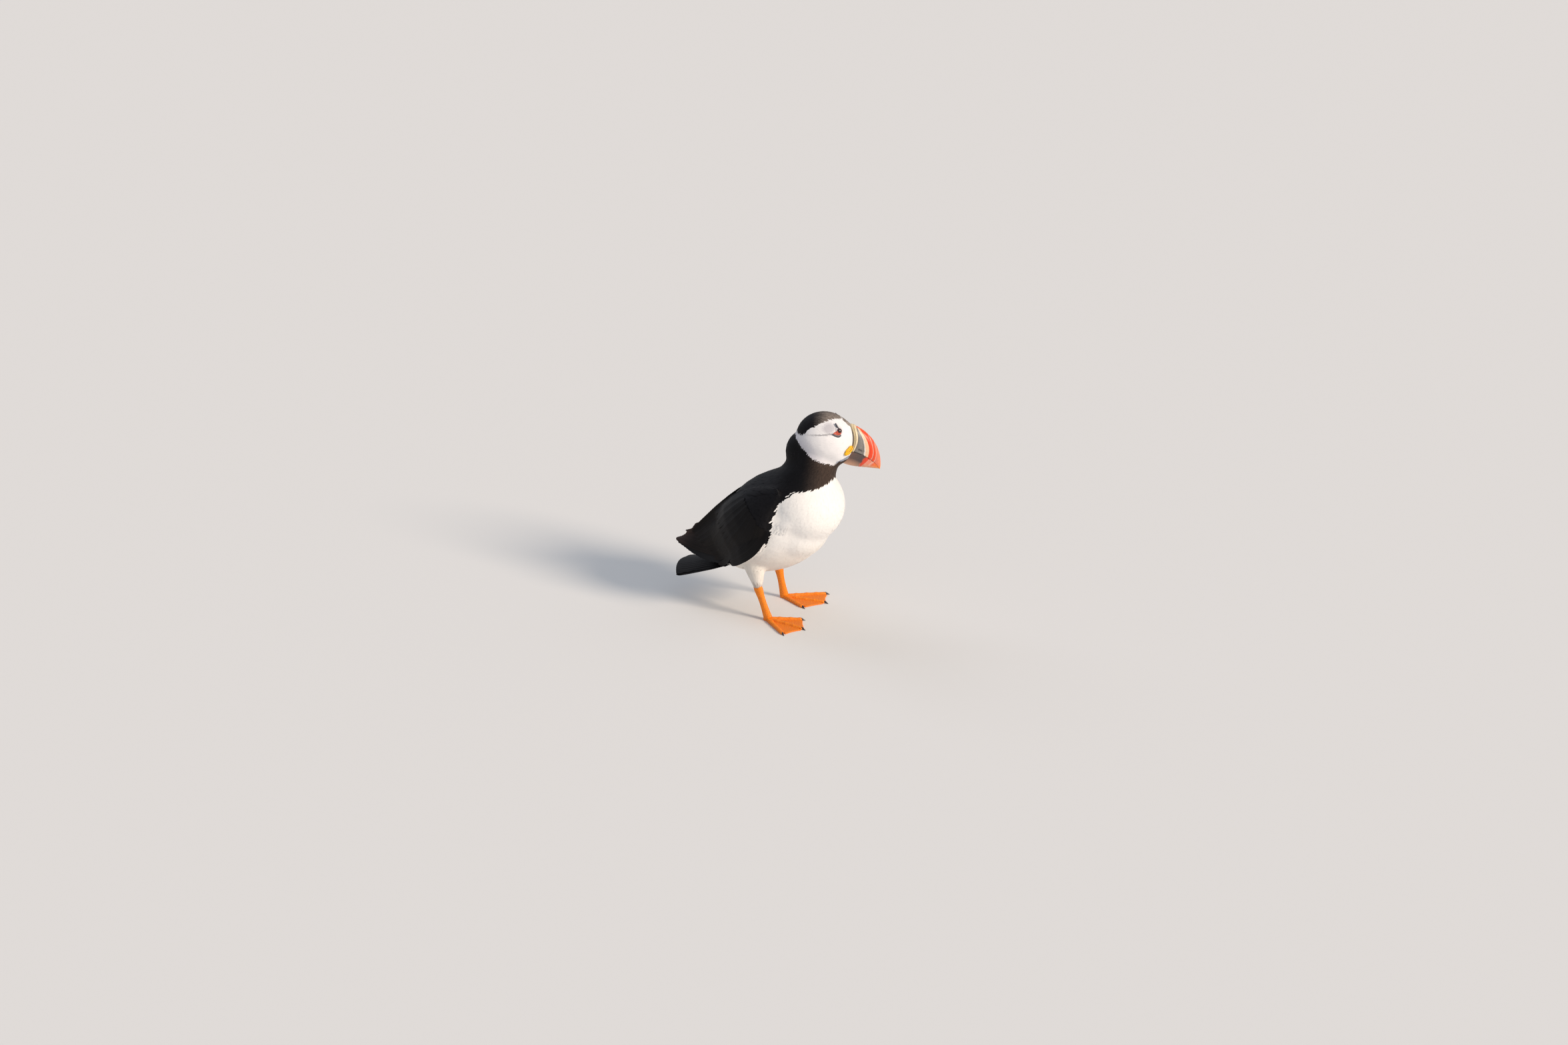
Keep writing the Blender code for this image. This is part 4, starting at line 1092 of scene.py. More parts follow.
def wing_row(name, word, onto, out, count, root, tip, width, height, tone, edge, worn):
    """One row of flight feathers or large coverts on a wing."""
    grids, tones = [], []
    for k in range(count):
        share = k / (count - 1)
        ends = [np.array(a) * (1 - share) + np.array(b) * share for a, b in (root, tip)]
        ends[1] = ends[1] + chance.normal(0, TIP_STRAY, 2)
        s = mix(ends[0][0], ends[1][0], VANE_ALONG)
        t = mix(ends[0][1], ends[1][1], VANE_ALONG**1.2)
        places = onto(wing_places(SIDES[word], s, t))
        outs = np.broadcast_to(out, places.shape)
        sides = unit(np.cross(unit(np.gradient(places, axis=0)), outs))
        tucked = TUCKED * (1 - ramp(VANE_ALONG, 0.0, 0.6)) * (1 - ramp(s, 0.5, 0.8))
        heights = mix(*height, share) - mix(*WING_SINK, ramp(s, 0.35, 0.85)) - tucked
        grids.append(vane_grid(places, sides, outs, width * chance.uniform(0.95, 1.05), heights))
        tones.append(own_tone(tone))
    vane_piece(f"{name}_{word}", grids, tones, onto, edge, worn)


for word in SIDES:
    onto, out = wing_face(word)
    for name, values in WING_ROWS.items():
        wing_row(name, word, onto, out, **values)

# %% [markdown]
# ### The tail
# A puffin's tail is a short fan of about sixteen stiff feathers. Fourteen are laid here,
# closed: the middle pair lies on top and each next one slides under it.

# %% Tail feathers
TAIL_ROOT, TAIL_TIP = (0, -36, 47), (0, -97, 31)
TAIL_ROLL = 9  # degrees, as the bird holds it
TAIL_HALF_WIDTHS = (10, 17)  # mm, of the fan's middle lines at its root and tip
TAIL_FEATHERS = 14
TAIL_FEATHER_HALF_WIDTH = 4.0
TAIL_START, TAIL_RUN = 0.12, 0.875  # the shares of the solid tail where vanes start, and that they run on
TAIL_ROOF = 3.5  # mm from the ridge of the roof that they make down to its eaves
TAIL_LEAN = 0.36  # how far the outermost feathers lean with the roof
TAIL_STACK = (0.45, 0.6, 1.4)  # mm: height of them all, more in the middle, and more at the roots
# the tail feathers' edges are painted paler, as a painted highlight
TAIL_TONE, TAIL_EDGE_HIGHLIGHT = "#0f0b0a", 0.25
TAIL_VANE = ((0.0, 0.6), (0.3, 0.9), (0.8, 1.0), (0.92, 0.96), (0.96, 0.86), (1.0, 0.5))

root, end = on_body(TAIL_ROOT), on_body(TAIL_TIP)
tail_length = np.linalg.norm(end - root)
tail_way = (end - root) / tail_length
tail_across = np.array(Matrix.Rotation(radians(-TAIL_ROLL), 3, Vector(tail_way)) @ Vector((1, 0, 0)))
tail_up = np.cross(tail_across, tail_way)
grids, tones = [], []
for k in sorted(range(TAIL_FEATHERS), key=lambda k: -abs(k - (TAIL_FEATHERS - 1) / 2)):
    p = 2 * k / (TAIL_FEATHERS - 1) - 1  # from -1 at one edge of the fan to 1 at the other
    q = TAIL_START + TAIL_RUN * VANE_ALONG
    reach = tail_length * q * (1 - 0.05 * p * p)
    places = root + tail_way * reach[:, None] + tail_across * (mix(*TAIL_HALF_WIDTHS, q) * p * MM)[:, None]
    places = places + tail_up * TAIL_ROOF * (0.5 - p * p) * MM
    outs = np.broadcast_to(unit(tail_up + tail_across * p * TAIL_LEAN), places.shape)
    sides = unit(np.cross(unit(np.gradient(places, axis=0)), outs))
    heights = TAIL_STACK[0] + TAIL_STACK[1] * (1 - abs(p)) + TAIL_STACK[2] * (1 - VANE_ALONG) * (1 - q)
    grids.append(vane_grid(places, sides, outs, TAIL_FEATHER_HALF_WIDTH, heights, TAIL_VANE))
    tones.append(own_tone(TAIL_TONE))
vane_piece("tail_feathers", grids, tones, edge=TAIL_EDGE_HIGHLIGHT)

# %% [markdown]
# ## The bill
# A puffin's bill is bone under plates of keratin: a cream ridge at its root, a slate
# plate, a pale band, then red-orange horn with two curved grooves, and a tip of yellow
# horn. It is lofted from the profile curves of the solid, finely enough that each band
# and groove is real relief. Each point keeps how far it is between the bands, and the
# material turns that into colour, so every border stays crisp.

# %% The bill's surface
# control points (ahead, up), in mm on the head's ruler: the ridge line above, the line between
# the two halves, and the lower edge, each from the root to the tip
CULMEN = ((24.5, 13.0), (44.0, 6.5), (54.5, -13.5), (51.8, -31.0))
MOUTH = ((20.0, -9.5), (30.0, -11.0), (42.0, -18.0), (50.9, -29.2))
GONYS = ((15.0, -24.0), (24.0, -30.0), (38.0, -29.0), (50.6, -31.4))
BILL_HALF_WIDTH, BILL_TIP_HALF_WIDTH = 8.6, 1.3  # mm
UPPER_MOUTH_START = 0.16  # the share of the mouth line that the upper half leaves free at the gape
BILL_BOW = 3.0  # mm by which the bill's side bows ahead
LIP_GAP = 0.15  # mm from the mouth line to each lip
HOOK, HOOK_START = (0.3, -1.7), 0.86  # mm by which the upper lip turns down, and the share where that starts
LOWER_TIP = (0.3, 0.2)  # mm by which the lower bill's tip is moved, to end inside the hook


def bezier(points, t):
    """Places on the cubic curve with these four control points."""
    p = np.asarray(points, float)
    t = np.asarray(t, float)[..., None]
    return p[0] * (1 - t) ** 3 + p[1] * 3 * t * (1 - t) ** 2 + p[2] * 3 * t * t * (1 - t) + p[3] * t**3


def bill_rings(edge, ts, steps):
    """Rings round the upper or lower bill, from the mouth up one side and down the other."""
    upper = edge is CULMEN
    h = np.sin(np.linspace(0, pi / 2, steps))
    mouth = bezier(MOUTH, UPPER_MOUTH_START + (1 - UPPER_MOUTH_START) * ts if upper else ts)
    outer = bezier(edge, ts)
    tip_share = ramp(ts, HOOK_START, 1.0)[:, None]
    mouth = mouth + unit(outer - mouth) * LIP_GAP + tip_share * (HOOK if upper else LOWER_TIP)
    outer = outer + tip_share * ((0.0, 0.0) if upper else LOWER_TIP)
    width = mix(BILL_TIP_HALF_WIDTH, BILL_HALF_WIDTH, np.clip(1 - ts, 0, 1) ** 0.8)
    bow = BILL_BOW if upper else -BILL_BOW / 2
    flat = mouth[:, None] + (outer - mouth)[:, None] * h[None, :, None]
    ahead = flat[..., 0] + bow * np.sin(pi * h)[None] * (1 - ts)[:, None]
    side = width[:, None] * np.sqrt(1 - (0.997 * h[None]) ** 2.6)
    right = np.stack([-side, ahead, flat[..., 1]], -1)
    left = right[:, ::-1] * (-1, 1, 1)
    both_h = np.broadcast_to(np.concatenate([h, h[::-1]])[None], (len(ts), 2 * steps))
    return np.concatenate([right, left], 1), np.broadcast_to(ts[:, None], both_h.shape), both_h


print("the mouth line is", round(float(np.linalg.norm(np.subtract(MOUTH[-1], MOUTH[0]))), 1), "mm long")

# %% Closed tubes
def tube_faces(rows, columns):
    """Triangles of a closed tube whose last two points close its ends."""
    quads = grid_faces(rows, columns, closed=True)
    sides = np.concatenate([quads[:, (0, 1, 2)], quads[:, (0, 2, 3)]])
    c = np.arange(columns)
    first = np.stack([np.full(columns, rows * columns), (c + 1) % columns, c], 1)
    last = np.stack([np.full(columns, rows * columns + 1), (rows - 1) * columns + c,
                     (rows - 1) * columns + (c + 1) % columns], 1)
    return np.concatenate([sides, first, last])


def tube(name, rings, relief=None):
    """A closed tube from rings of places in the room, with relief in mm along its normals."""
    rows, columns = rings.shape[:2]
    points = np.concatenate([rings.reshape(-1, 3), rings[:1].mean(1), rings[-1:].mean(1)])
    faces = tube_faces(rows, columns)
    a, b, c = (points[faces[:, k]] for k in range(3))
    if ((a - points.mean(0)) * np.cross(b - a, c - a)).sum() < 0:
        faces = faces[:, ::-1]
    if relief is not None:
        lift = np.concatenate([relief.ravel(), relief[:1].mean(1), relief[-1:].mean(1)])
        points = points + smooth_normals(points, faces, 1) * lift[:, None] * MM
    return mesh_from(name, points, faces)


def with_ends(values):
    """Values on rings, with those of the two points that close the tube."""
    return np.concatenate([values.ravel(), values[:1].mean(1), values[-1:].mean(1)])


print("a tube of 10 rings of 8 points has", len(tube_faces(10, 8)), "triangles")

# %% Bands, ridges and grooves
def bump_at(values, place, width):
    """A smooth bump of height one round a place."""
    return np.exp(-(((values - place) / width) ** 2))


def between(h, at_mouth, at_middle, at_edge):
    """A line that crosses the bill at these shares of its length."""
    return at_mouth * (1 - h) * (1 - 2 * h) + at_middle * 4 * h * (1 - h) + at_edge * h * (2 * h - 1)


def band_number(t, edges):
    """How far along the bands a point is: whole numbers are the borders between them."""
    return sum(np.clip((t - a) / np.maximum(b - a, 0.01), 0, 1) for a, b in zip(edges, edges[1:]))


def grooved(bands, relief):
    """Height in mm from a list of ridges and grooves."""
    return sum(height * bump_at(bands, place, width) for height, place, width in relief)


print("halfway along, a point is at band", band_number(0.5, (0, 0.25, 0.5, 1)))

# %% Upper bill
RIDGE_END = 0.085  # the share of the mouth line that the ridge at the bill's root takes
# height in mm, place among the bands, and width: the plate's raised rim, its middle, two grooves, and the
# swell between grooves
UPPER_RELIEF = ((0.30, 1.0, 0.10), (-0.30, 0.86, 0.10), (0.16, 1.5, 0.35), (-0.28, 2.03, 0.07),
                (-0.42, 3.0, 0.10), (-0.42, 4.0, 0.09), (0.10, 2.5, 0.3), (0.10, 3.5, 0.3))
SLIT_DEPTH = 0.7  # mm, of the nostril

t = np.linspace(RIDGE_END - 0.02, 1, 130)
rings, ts, hs = bill_rings(CULMEN, t, 34)
UPPER_BANDS = [np.full_like(ts, RIDGE_END), between(hs, 0.46, 0.26, 0.098), between(hs, 0.56, 0.40, 0.14),
               between(hs, 0.68, 0.57, 0.34), between(hs, 0.78, 0.69, 0.50), np.ones_like(ts) * 1.04]
bands = band_number(ts, UPPER_BANDS)
slit = np.exp(-(((ts - 0.24) / 0.075) ** 4)) * bump_at(hs, 0.13, 0.035)
relief = grooved(bands, UPPER_RELIEF) - SLIT_DEPTH * slit
relief *= 1 - 0.6 * ramp(hs, 0.9, 1.0)
relief += 0.12 * bump_at(hs, 0.03, 0.035)
upper_mesh = tube("bill_upper_horn", on_head(rings), relief)
keep_value(upper_mesh, "band", with_ends(bands) / 5)
keep_value(upper_mesh, "rim", with_ends(hs))
keep_value(upper_mesh, "slit", with_ends(slit))
print("upper bill:", len(upper_mesh.polygons), "triangles")

# %% Lower bill
LOWER_RELIEF = ((0.22, 1.15, 0.12), (-0.25, 0.97, 0.05), (-0.30, 2.0, 0.08), (-0.30, 3.0, 0.08))

t = np.linspace(0.0, 1, 120)
rings, ts, hs = bill_rings(GONYS, t, 26)
LOWER_BANDS = [np.full_like(ts, -0.05), between(hs, 0.60, 0.56, 0.50), between(hs, 0.70, 0.64, 0.56),
               between(hs, 0.79, 0.74, 0.68), np.ones_like(ts) * 1.04]
lower_bands = band_number(ts, LOWER_BANDS)
relief = grooved(lower_bands, LOWER_RELIEF)
relief *= 1 - 0.5 * ramp(hs, 0.85, 1.0)
lower_mesh = tube("bill_lower_horn", on_head(rings), relief)
keep_value(lower_mesh, "band", with_ends(lower_bands) / 4)
keep_value(lower_mesh, "rim", with_ends(hs * (1 - 0.6 * bump_at(lower_bands, 1.35, 0.4))))
print("lower bill:", len(lower_mesh.polygons), "triangles")

# %% Ridge at the bill's root
t = np.linspace(-0.015, RIDGE_END + 0.008, 30)
rings, ts, hs = bill_rings(CULMEN, t, 34)
across_ridge = (ts - t[0]) / (t[-1] - t[0])
pits = np.maximum(0, np.sin(hs * 46) * np.sin(across_ridge * 9 + 0.6)) ** 2
roll = -0.35 + 1.05 * np.sin(pi * np.clip(across_ridge, 0, 1)) ** 0.55
relief = roll - 0.42 * bump_at(across_ridge, 0.42, 0.07) - 0.10 * pits
ridge_mesh = tube("bill_ridge_roll", on_head(rings), relief)
keep_value(ridge_mesh, "roll", with_ends(across_ridge))
keep_value(ridge_mesh, "rim", with_ends(hs))
print("ridge:", len(ridge_mesh.polygons), "triangles")

# %% [markdown]
# ### What horn is
# Keratin horn grows in thin layers and is worn smooth: a satin gloss with fine growth
# lines that run with the bands. Its IOR is near 1.55. The pale roll at the root is
# softer and duller, with small pits.

# %% Horn materials
HORN_IOR = 1.55
BORDER_PATCH, STREAK = 3, 1.2  # mm, over which the bands' borders wander, and the size of paler streaks
GROWTH_LINES = 60  # along the bands of one bill, about 0.6 mm apart, coarser than life so that they show


def horn_finish(name, stops, rim_colour, rim_from, attribute="band", **shader):
    """Layered horn coloured by its bands, with growth lines and a paler or brighter rim."""
    made, tree, body = finish(name, IOR=HORN_IOR, **shader)
    band = add(tree, "Attribute", attribute_name=attribute)
    rim = add(tree, "Attribute", attribute_name="rim")
    place = add(tree, "TexCoord")
    coarse = {"Vector": place.outputs["Object"], "Scale": 1 / (BORDER_PATCH * MM), "Detail": 4.0}
    cloud = add(tree, "TexNoise", coarse)
    wander = add(tree, "MapRange", {0: cloud.outputs[0], **NOISE_SPAN, 3: -0.008, 4: 0.008})
    moved = add(tree, "Math", {0: band.outputs["Fac"], 1: wander.outputs[0]}, operation="ADD")
    colour = add(tree, "ValToRGB", {0: moved.outputs[0]}, stops)
    share = add(tree, "MapRange", {0: rim.outputs["Fac"], 1: rim_from, 2: 1.0, 3: 0.0, 4: 1.0})
    mixed = add(tree, "Mix", {0: share.outputs[0], 6: colour.outputs[0], 7: rim_colour}, data_type="RGBA")
    fine = {"Vector": place.outputs["Object"], "Scale": 1 / (STREAK * MM), "Detail": 5.0}
    streak = add(tree, "TexNoise", fine)
    tone = add(tree, "MapRange", {0: streak.outputs[0], **NOISE_SPAN, 3: 0.86, 4: 1.06})
    toned = add(tree, "VectorMath", {0: mixed.outputs[2], "Scale": tone.outputs[0]}, operation="SCALE")
    tree.links.new(toned.outputs[0], body.inputs["Base Color"])
    lines = add(tree, "Math", {0: band.outputs["Fac"], 1: 2 * pi * GROWTH_LINES}, operation="MULTIPLY")
    wave = add(tree, "Math", {0: lines.outputs[0]}, operation="SINE")
    bump = add(tree, "Bump", {"Strength": 0.25, "Distance": 0.05 * MM, "Height": wave.outputs[0]})
    tree.links.new(bump.outputs[0], body.inputs["Normal"])
    rough = add(tree, "MapRange", {0: streak.outputs[0], **NOISE_SPAN, 3: 0.30, 4: 0.48})
    tree.links.new(rough.outputs[0], body.inputs["Roughness"])
    return made, tree, body, toned


UPPER_STOPS = (
    (0.0, "#6f6c6a"), (0.10, "#8b8783"), (0.172, "#77736f"), (0.188, "#f3ece4"), (0.212, "#efdccb"),
    (0.24, "#edc7a3"), (0.375, "#efc9a6"), (0.402, "#f2642c"), (0.43, "#ee3d0d"), (0.56, "#f04a12"),
    (0.592, "#eab0a0"), (0.612, "#e88a74"), (0.64, "#ea4616"), (0.77, "#ee5a2a"), (0.795, "#ecb3a4"),
    (0.82, "#ea7f62"), (0.93, "#f0825a"), (0.955, "#f28a3a"), (1.0, "#f5a02c"),
)
upper_horn, tree, shader, toned = horn_finish(
    "banded_keratin_upper", UPPER_STOPS, "#f4600f", 0.965, Roughness=0.38, Coat_Weight=0.15,
    Coat_Roughness=0.25)
# the nostril slit is painted near-black, as painted shade in the opening
slit_here = add(tree, "Attribute", attribute_name="slit")
dark = add(tree, "Mix", {0: slit_here.outputs["Fac"], 6: toned.outputs[0], 7: "#1d1614"}, data_type="RGBA")
tree.links.new(dark.outputs[2], shader.inputs["Base Color"])
# the dark brown-grey of the lower bill's root band is painted shade under the upper bill
LOWER_STOPS = (
    (0.0, "#8a5a3c"), (0.08, "#6b4e44"), (0.16, "#574641"), (0.235, "#4d4040"), (0.252, "#e0532c"),
    (0.30, "#e23a12"), (0.48, "#e6512b"), (0.50, "#eab5a6"), (0.53, "#e88d74"), (0.74, "#ea8a6c"),
    (0.755, "#ecb9a8"), (0.80, "#ea6b3c"), (0.93, "#f0872f"), (1.0, "#f5a02c"),
)
lower_horn, *_ = horn_finish("banded_keratin_lower", LOWER_STOPS, "#e9b08c", 0.42, Roughness=0.4,
                             Coat_Weight=0.12, Coat_Roughness=0.3)
# the darker stops lie where the roll sinks, in its groove and at its edges: painted shade
RIDGE_STOPS = ((0.0, "#a8946c"), (0.30, "#dccaa2"), (0.40, "#94805a"), (0.47, "#cdbb92"), (0.70, "#ecdcbc"),
               (1.0, "#c9b48c"))
ridge_horn, *_ = horn_finish("pitted_soft_horn", RIDGE_STOPS, "#e6d2ac", 0.9, "roll", Roughness=0.55)
show("bill_upper_horn", upper_mesh, upper_horn, ["bill_upper"])
show("bill_lower_horn", lower_mesh, lower_horn, ["bill_lower"])
show("bill_ridge_roll", ridge_mesh, ridge_horn, ["bill_ridge"])
print("bill bands at", [round(float(e[0, 0]), 2) for e in UPPER_BANDS], "of the mouth line")

# %% [markdown]
# ## Eyes
# The eyeball is a wet ball with a dark brown iris and a wide pupil. Over it lies a
# fleshy lid edge, red-orange below and behind, and dark above. Two small slate plates
# of horn sit on the skin above and below. The ball is a true sphere with a raised
# cornea, sunk as deep as the solid one, and the lids are folds that follow it.

# %% Eyeballs
EYE_RADIUS = 3.5
EYE_MOVED_OUT = 0.5  # mm, so that this smaller ball stands out nearly as far as the solid one
CORNEA_RISE, CORNEA_RADIUS = 0.25, 1.8  # mm
EYE_GRID = (56, 64)  # points from the pupil back, and round it


def eye_axes(word):
    """The middle of an eyeball, and the ways out, back and up from it."""
    centre = middle("eye_" + word)
    out = unit(middle("eye_ring_" + word) - centre)
    up = unit(np.array((0, 0, 1.0)) - out * out[2])
    back = np.cross(up, out)
    back = back * (1 if back[1] > 0 else -1)
    return centre + out * EYE_MOVED_OUT * MM, out, back, up


def eyeball(word):
    """A sphere with its pole at the pupil and a low dome for the cornea."""
    centre, out, back, up = eye_axes(word)
    polar = np.linspace(0.01, pi - 0.01, EYE_GRID[0])
    turn = np.linspace(0, 2 * pi, EYE_GRID[1], endpoint=False)
    off_axis = EYE_RADIUS * np.sin(polar)
    rise = CORNEA_RISE * np.exp(-((off_axis / CORNEA_RADIUS) ** 4)) * (polar < pi / 2)
    radius = (EYE_RADIUS + rise)[:, None, None]
    way = (np.cos(polar)[:, None, None] * out + np.sin(polar)[:, None, None]
           * (np.cos(turn)[None, :, None] * back + np.sin(turn)[None, :, None] * up))
    mesh = tube("eyeball_" + word, centre + way * radius * MM)
    spokes = np.sin(turn * 23 + 2 * np.sin(turn * 7))  # the streaks of the iris
    keep_value(mesh, "off_axis", with_ends(np.broadcast_to(polar[:, None] * EYE_RADIUS, EYE_GRID)) / 10)
    keep_value(mesh, "turn", with_ends(np.broadcast_to(spokes[None], EYE_GRID)))
    show("eyeball_" + word, mesh, wet_eye, ["eye_" + word])


# the ball under its film of tears: nearly a mirror, so that it holds one clear highlight
wet_eye, tree, shader = finish("wet_eyeball", Roughness=0.06, IOR=1.38, Coat_Weight=1.0, Coat_Roughness=0.03)
distance = add(tree, "Attribute", attribute_name="off_axis")
streaks = add(tree, "Attribute", attribute_name="turn")
IRIS_STOPS = ((0.0, "#050404"), (0.085, "#070505"), (0.10, "#3a1c17"), (0.14, "#4f261e"),
              (0.175, "#341713"), (0.20, "#0d0808"), (1.0, "#171012"))
iris = add(tree, "ValToRGB", {0: distance.outputs["Fac"]}, IRIS_STOPS)
glow = add(tree, "MapRange", {0: streaks.outputs["Fac"], **SINE_SPAN, 3: 0.75, 4: 1.2})
toned = add(tree, "VectorMath", {0: iris.outputs[0], "Scale": glow.outputs[0]}, operation="SCALE")
tree.links.new(toned.outputs[0], shader.inputs["Base Color"])
print("eye radius", EYE_RADIUS, "mm")

# %% Lids
LID_INNER, LID_OUTER = 1.75, 4.1  # mm from the middle of the eye
LID_EDGE = 0.6  # mm, the width of the lid's edge, which lies on the ball
CHEEK_LEVEL = 1.8  # mm from the ball's middle to the plumage round the eye
LID_TONES = {"red": "#e2492a", "fold": "#c95c46", "rim": "#3a2f40", "skin": "#e0d9da"}
LID_GRID = (120, 26)  # points round the eye, and outwards


def lid_level(r, inner):
    """Height of the lids over the ball's middle: on the ball at first, then down to the cheek."""
    on_ball = np.sqrt(EYE_RADIUS**2 - np.minimum(r, inner + LID_EDGE) ** 2) + 0.1
    down = ramp(r - inner, LID_EDGE, LID_OUTER - LID_INNER)
    return on_ball * (1 - down) + CHEEK_LEVEL * down


def lids(word):
    """The ring of skin folds that lies on the eyeball and runs out into the cheek."""
    centre, out, back, up = eye_axes(word)
    turn = np.linspace(0, 2 * pi, LID_GRID[0], endpoint=False)
    w = np.linspace(0, 1, LID_GRID[1])
    low_back = 0.5 + 0.5 * np.cos(turn - radians(-50))  # 1 below and behind the eye
    inner = LID_INNER - 0.1 * low_back + 0.15 * np.sin(turn) ** 2
    r = inner[:, None] + (LID_OUTER - inner)[:, None] * w[None]
    past = r - inner[:, None]
    bead = (0.24 + 0.14 * low_back[:, None]) * bump_at(past, 0.34, 0.28)
    warts = 0.04 * np.maximum(0, np.sin(turn * 34))[:, None] * bump_at(past, 0.36, 0.2)
    height = lid_level(r, inner[:, None]) + bead + warts
    height = height - 0.4 * (1 - ramp(w, 0.0, 0.06))[None] - 0.5 * ramp(w, 0.9, 1.0)[None]
    way = np.cos(turn)[:, None, None] * back + np.sin(turn)[:, None, None] * up
    points = centre + (way * r[..., None] + out * height[..., None]) * MM
    faces = grid_faces(*LID_GRID)
    first, last = np.arange(LID_GRID[1] - 1), np.arange(LID_GRID[1] - 1) + (LID_GRID[0] - 1) * LID_GRID[1]
    faces = np.concatenate([faces, np.stack([last, last + 1, first + 1, first], 1)])
    a, b, c = (points.reshape(-1, 3)[faces[:, k]] for k in range(3))
    if (np.cross(b - a, c - b) * out).sum() < 0:
        faces = faces[:, ::-1]
    mesh = mesh_from("eyelids_" + word, points.reshape(-1, 3), faces)
    red = ramp(low_back, 0.60, 0.80)[:, None] * (1 - ramp(past, 0.45, 0.7))
    rim = 1 - ramp(past, 0.55, 0.95)
    tones = {key: rgb(code) for key, code in LID_TONES.items()}
    colour = tones["skin"] * (1 - rim[..., None]) + tones["rim"] * rim[..., None]
    colour = colour * (1 - red[..., None]) + tones["red"] * red[..., None]
    keep_value(mesh, "tone", colour.reshape(-1, 3))
    show("eyelids_" + word, mesh, lid_skin, ["eye_ring_" + word])


def soft_skin_finish(name, grain, **shader):
    """Bare skin, fine-grained and a little moist, in the tone that its points carry."""
    made, tree, body = finish(name, **shader)
    own = add(tree, "Attribute", attribute_name="tone")
    grains = {"Vector": add(tree, "TexCoord").outputs["Object"], "Scale": 1 / (grain * MM)}
    cloud = add(tree, "TexNoise", {**grains, "Detail": 5.0})
    spots = add(tree, "TexVoronoi", grains)
    tone = add(tree, "MapRange", {0: cloud.outputs[0], **NOISE_SPAN, 3: 0.85, 4: 1.1})
    toned = add(tree, "VectorMath", {0: own.outputs["Color"], "Scale": tone.outputs[0]}, operation="SCALE")
    tree.links.new(toned.outputs[0], body.inputs["Base Color"])
    bump = add(tree, "Bump", {"Strength": 0.25, "Distance": 0.08 * MM, "Height": spots.outputs[0]})
    tree.links.new(bump.outputs[0], body.inputs["Normal"])
    rough = add(tree, "MapRange", {0: cloud.outputs[0], **NOISE_SPAN, 3: 0.48, 4: 0.7})
    tree.links.new(rough.outputs[0], body.inputs["Roughness"])
    return made


# thin skin kept moist by tears: a soft gloss, and a little light comes through it
lid_skin = soft_skin_finish("moist_lid_skin", 0.5, Subsurface_Weight=0.1, Subsurface_Scale=0.001)
for word in SIDES:
    eyeball(word)
    lids(word)
print("lids reach from", LID_INNER, "to", LID_OUTER, "mm")

# %% [markdown]
# ### Plates, a fold and rosettes
# In summer a puffin wears a small three-cornered plate of slate horn over each eye and a
# flat bar under it, with a fold of red skin between bar and eye. Each is a pad: its
# outline is drawn on the cheek and raised by a round profile, so that it follows the
# eyeball's rim. The yellow rosette at the gape is wrinkled bare skin, and its folds are
# waves that run along it. The horn is dull and mottled, the skin waxy and soft.

# %% Slate plates and lid folds
def refined(name, voxel, rounds, grow=0.0):
    """A finer, smoother copy of a solid."""
    mesh = through(solid_copy([name], grow * MM), ("REMESH", {"mode": "VOXEL", "voxel_size": voxel * MM}),
                   ("SMOOTH", {"factor": 0.5, "iterations": rounds}))
    return points_of(mesh), triangles_of(mesh)


def mottled_horn(name, grain, detail, dark, bright, dents=0.0, **shader):
    """Plain horn that is mottled from dark to bright, by patches of this many mm."""
    made, tree, body = finish(name, IOR=HORN_IOR, **shader)
    place = add(tree, "TexCoord")
    patches = {"Vector": place.outputs["Object"], "Scale": 1 / (grain * MM), "Detail": detail}
    cloud = add(tree, "TexNoise", patches)
    colour = add(tree, "ValToRGB", {0: cloud.outputs[0]}, ((0.3, dark), (0.7, bright)))
    tree.links.new(colour.outputs[0], body.inputs["Base Color"])
    if dents:
        bump = add(tree, "Bump", {"Strength": dents, "Distance": 0.1 * MM, "Height": cloud.outputs[0]})
        tree.links.new(bump.outputs[0], body.inputs["Normal"])
    return made


# thick dull horn, cold grey and a little dented
slate = mottled_horn("slate_horn_plate", 0.8, 5.0, "#23222b", "#4b4b58", 0.4, Roughness=0.42)
PADS = {  # outlines in mm back and up from the middle of the eye, and how high each stands
    "plate_above_eye": (0.77, ((0.0, 2.6), (1.1, 2.6), (2.3, 4.5), (3.1, 7.1), (2.2, 7.6), (1.1, 5.2))),
    "plate_below_eye": (0.60, ((5.0, -2.2), (7.9, -2.4), (6.4, -3.8), (4.2, -5.1), (2.0, -6.0),
                               (0.2, -6.0), (-1.6, -4.9), (-1.5, -3.6), (0.6, -3.9), (3.0, -3.4))),
    "lid_fold": (0.62, ((2.1, 0.1), (3.1, 0.0), (4.5, -0.6), (6.3, -1.9), (5.2, -2.7), (3.3, -3.5),
                        (1.2, -4.1), (-0.5, -3.8), (-1.6, -2.9), (-2.0, -1.9), (-0.9, -1.9),
                        (0.4, -2.1), (1.4, -1.7), (2.0, -0.7))),
}
# shares of the outline's size and of the height, from the sunk edge to the top
PAD_PROFILE = ((1.0, -0.65), (0.98, 0.2), (0.9, 0.55), (0.76, 0.78), (0.56, 0.91), (0.32, 0.97), (0.02, 1.0))
PAD_POINTS = 72  # round the outline


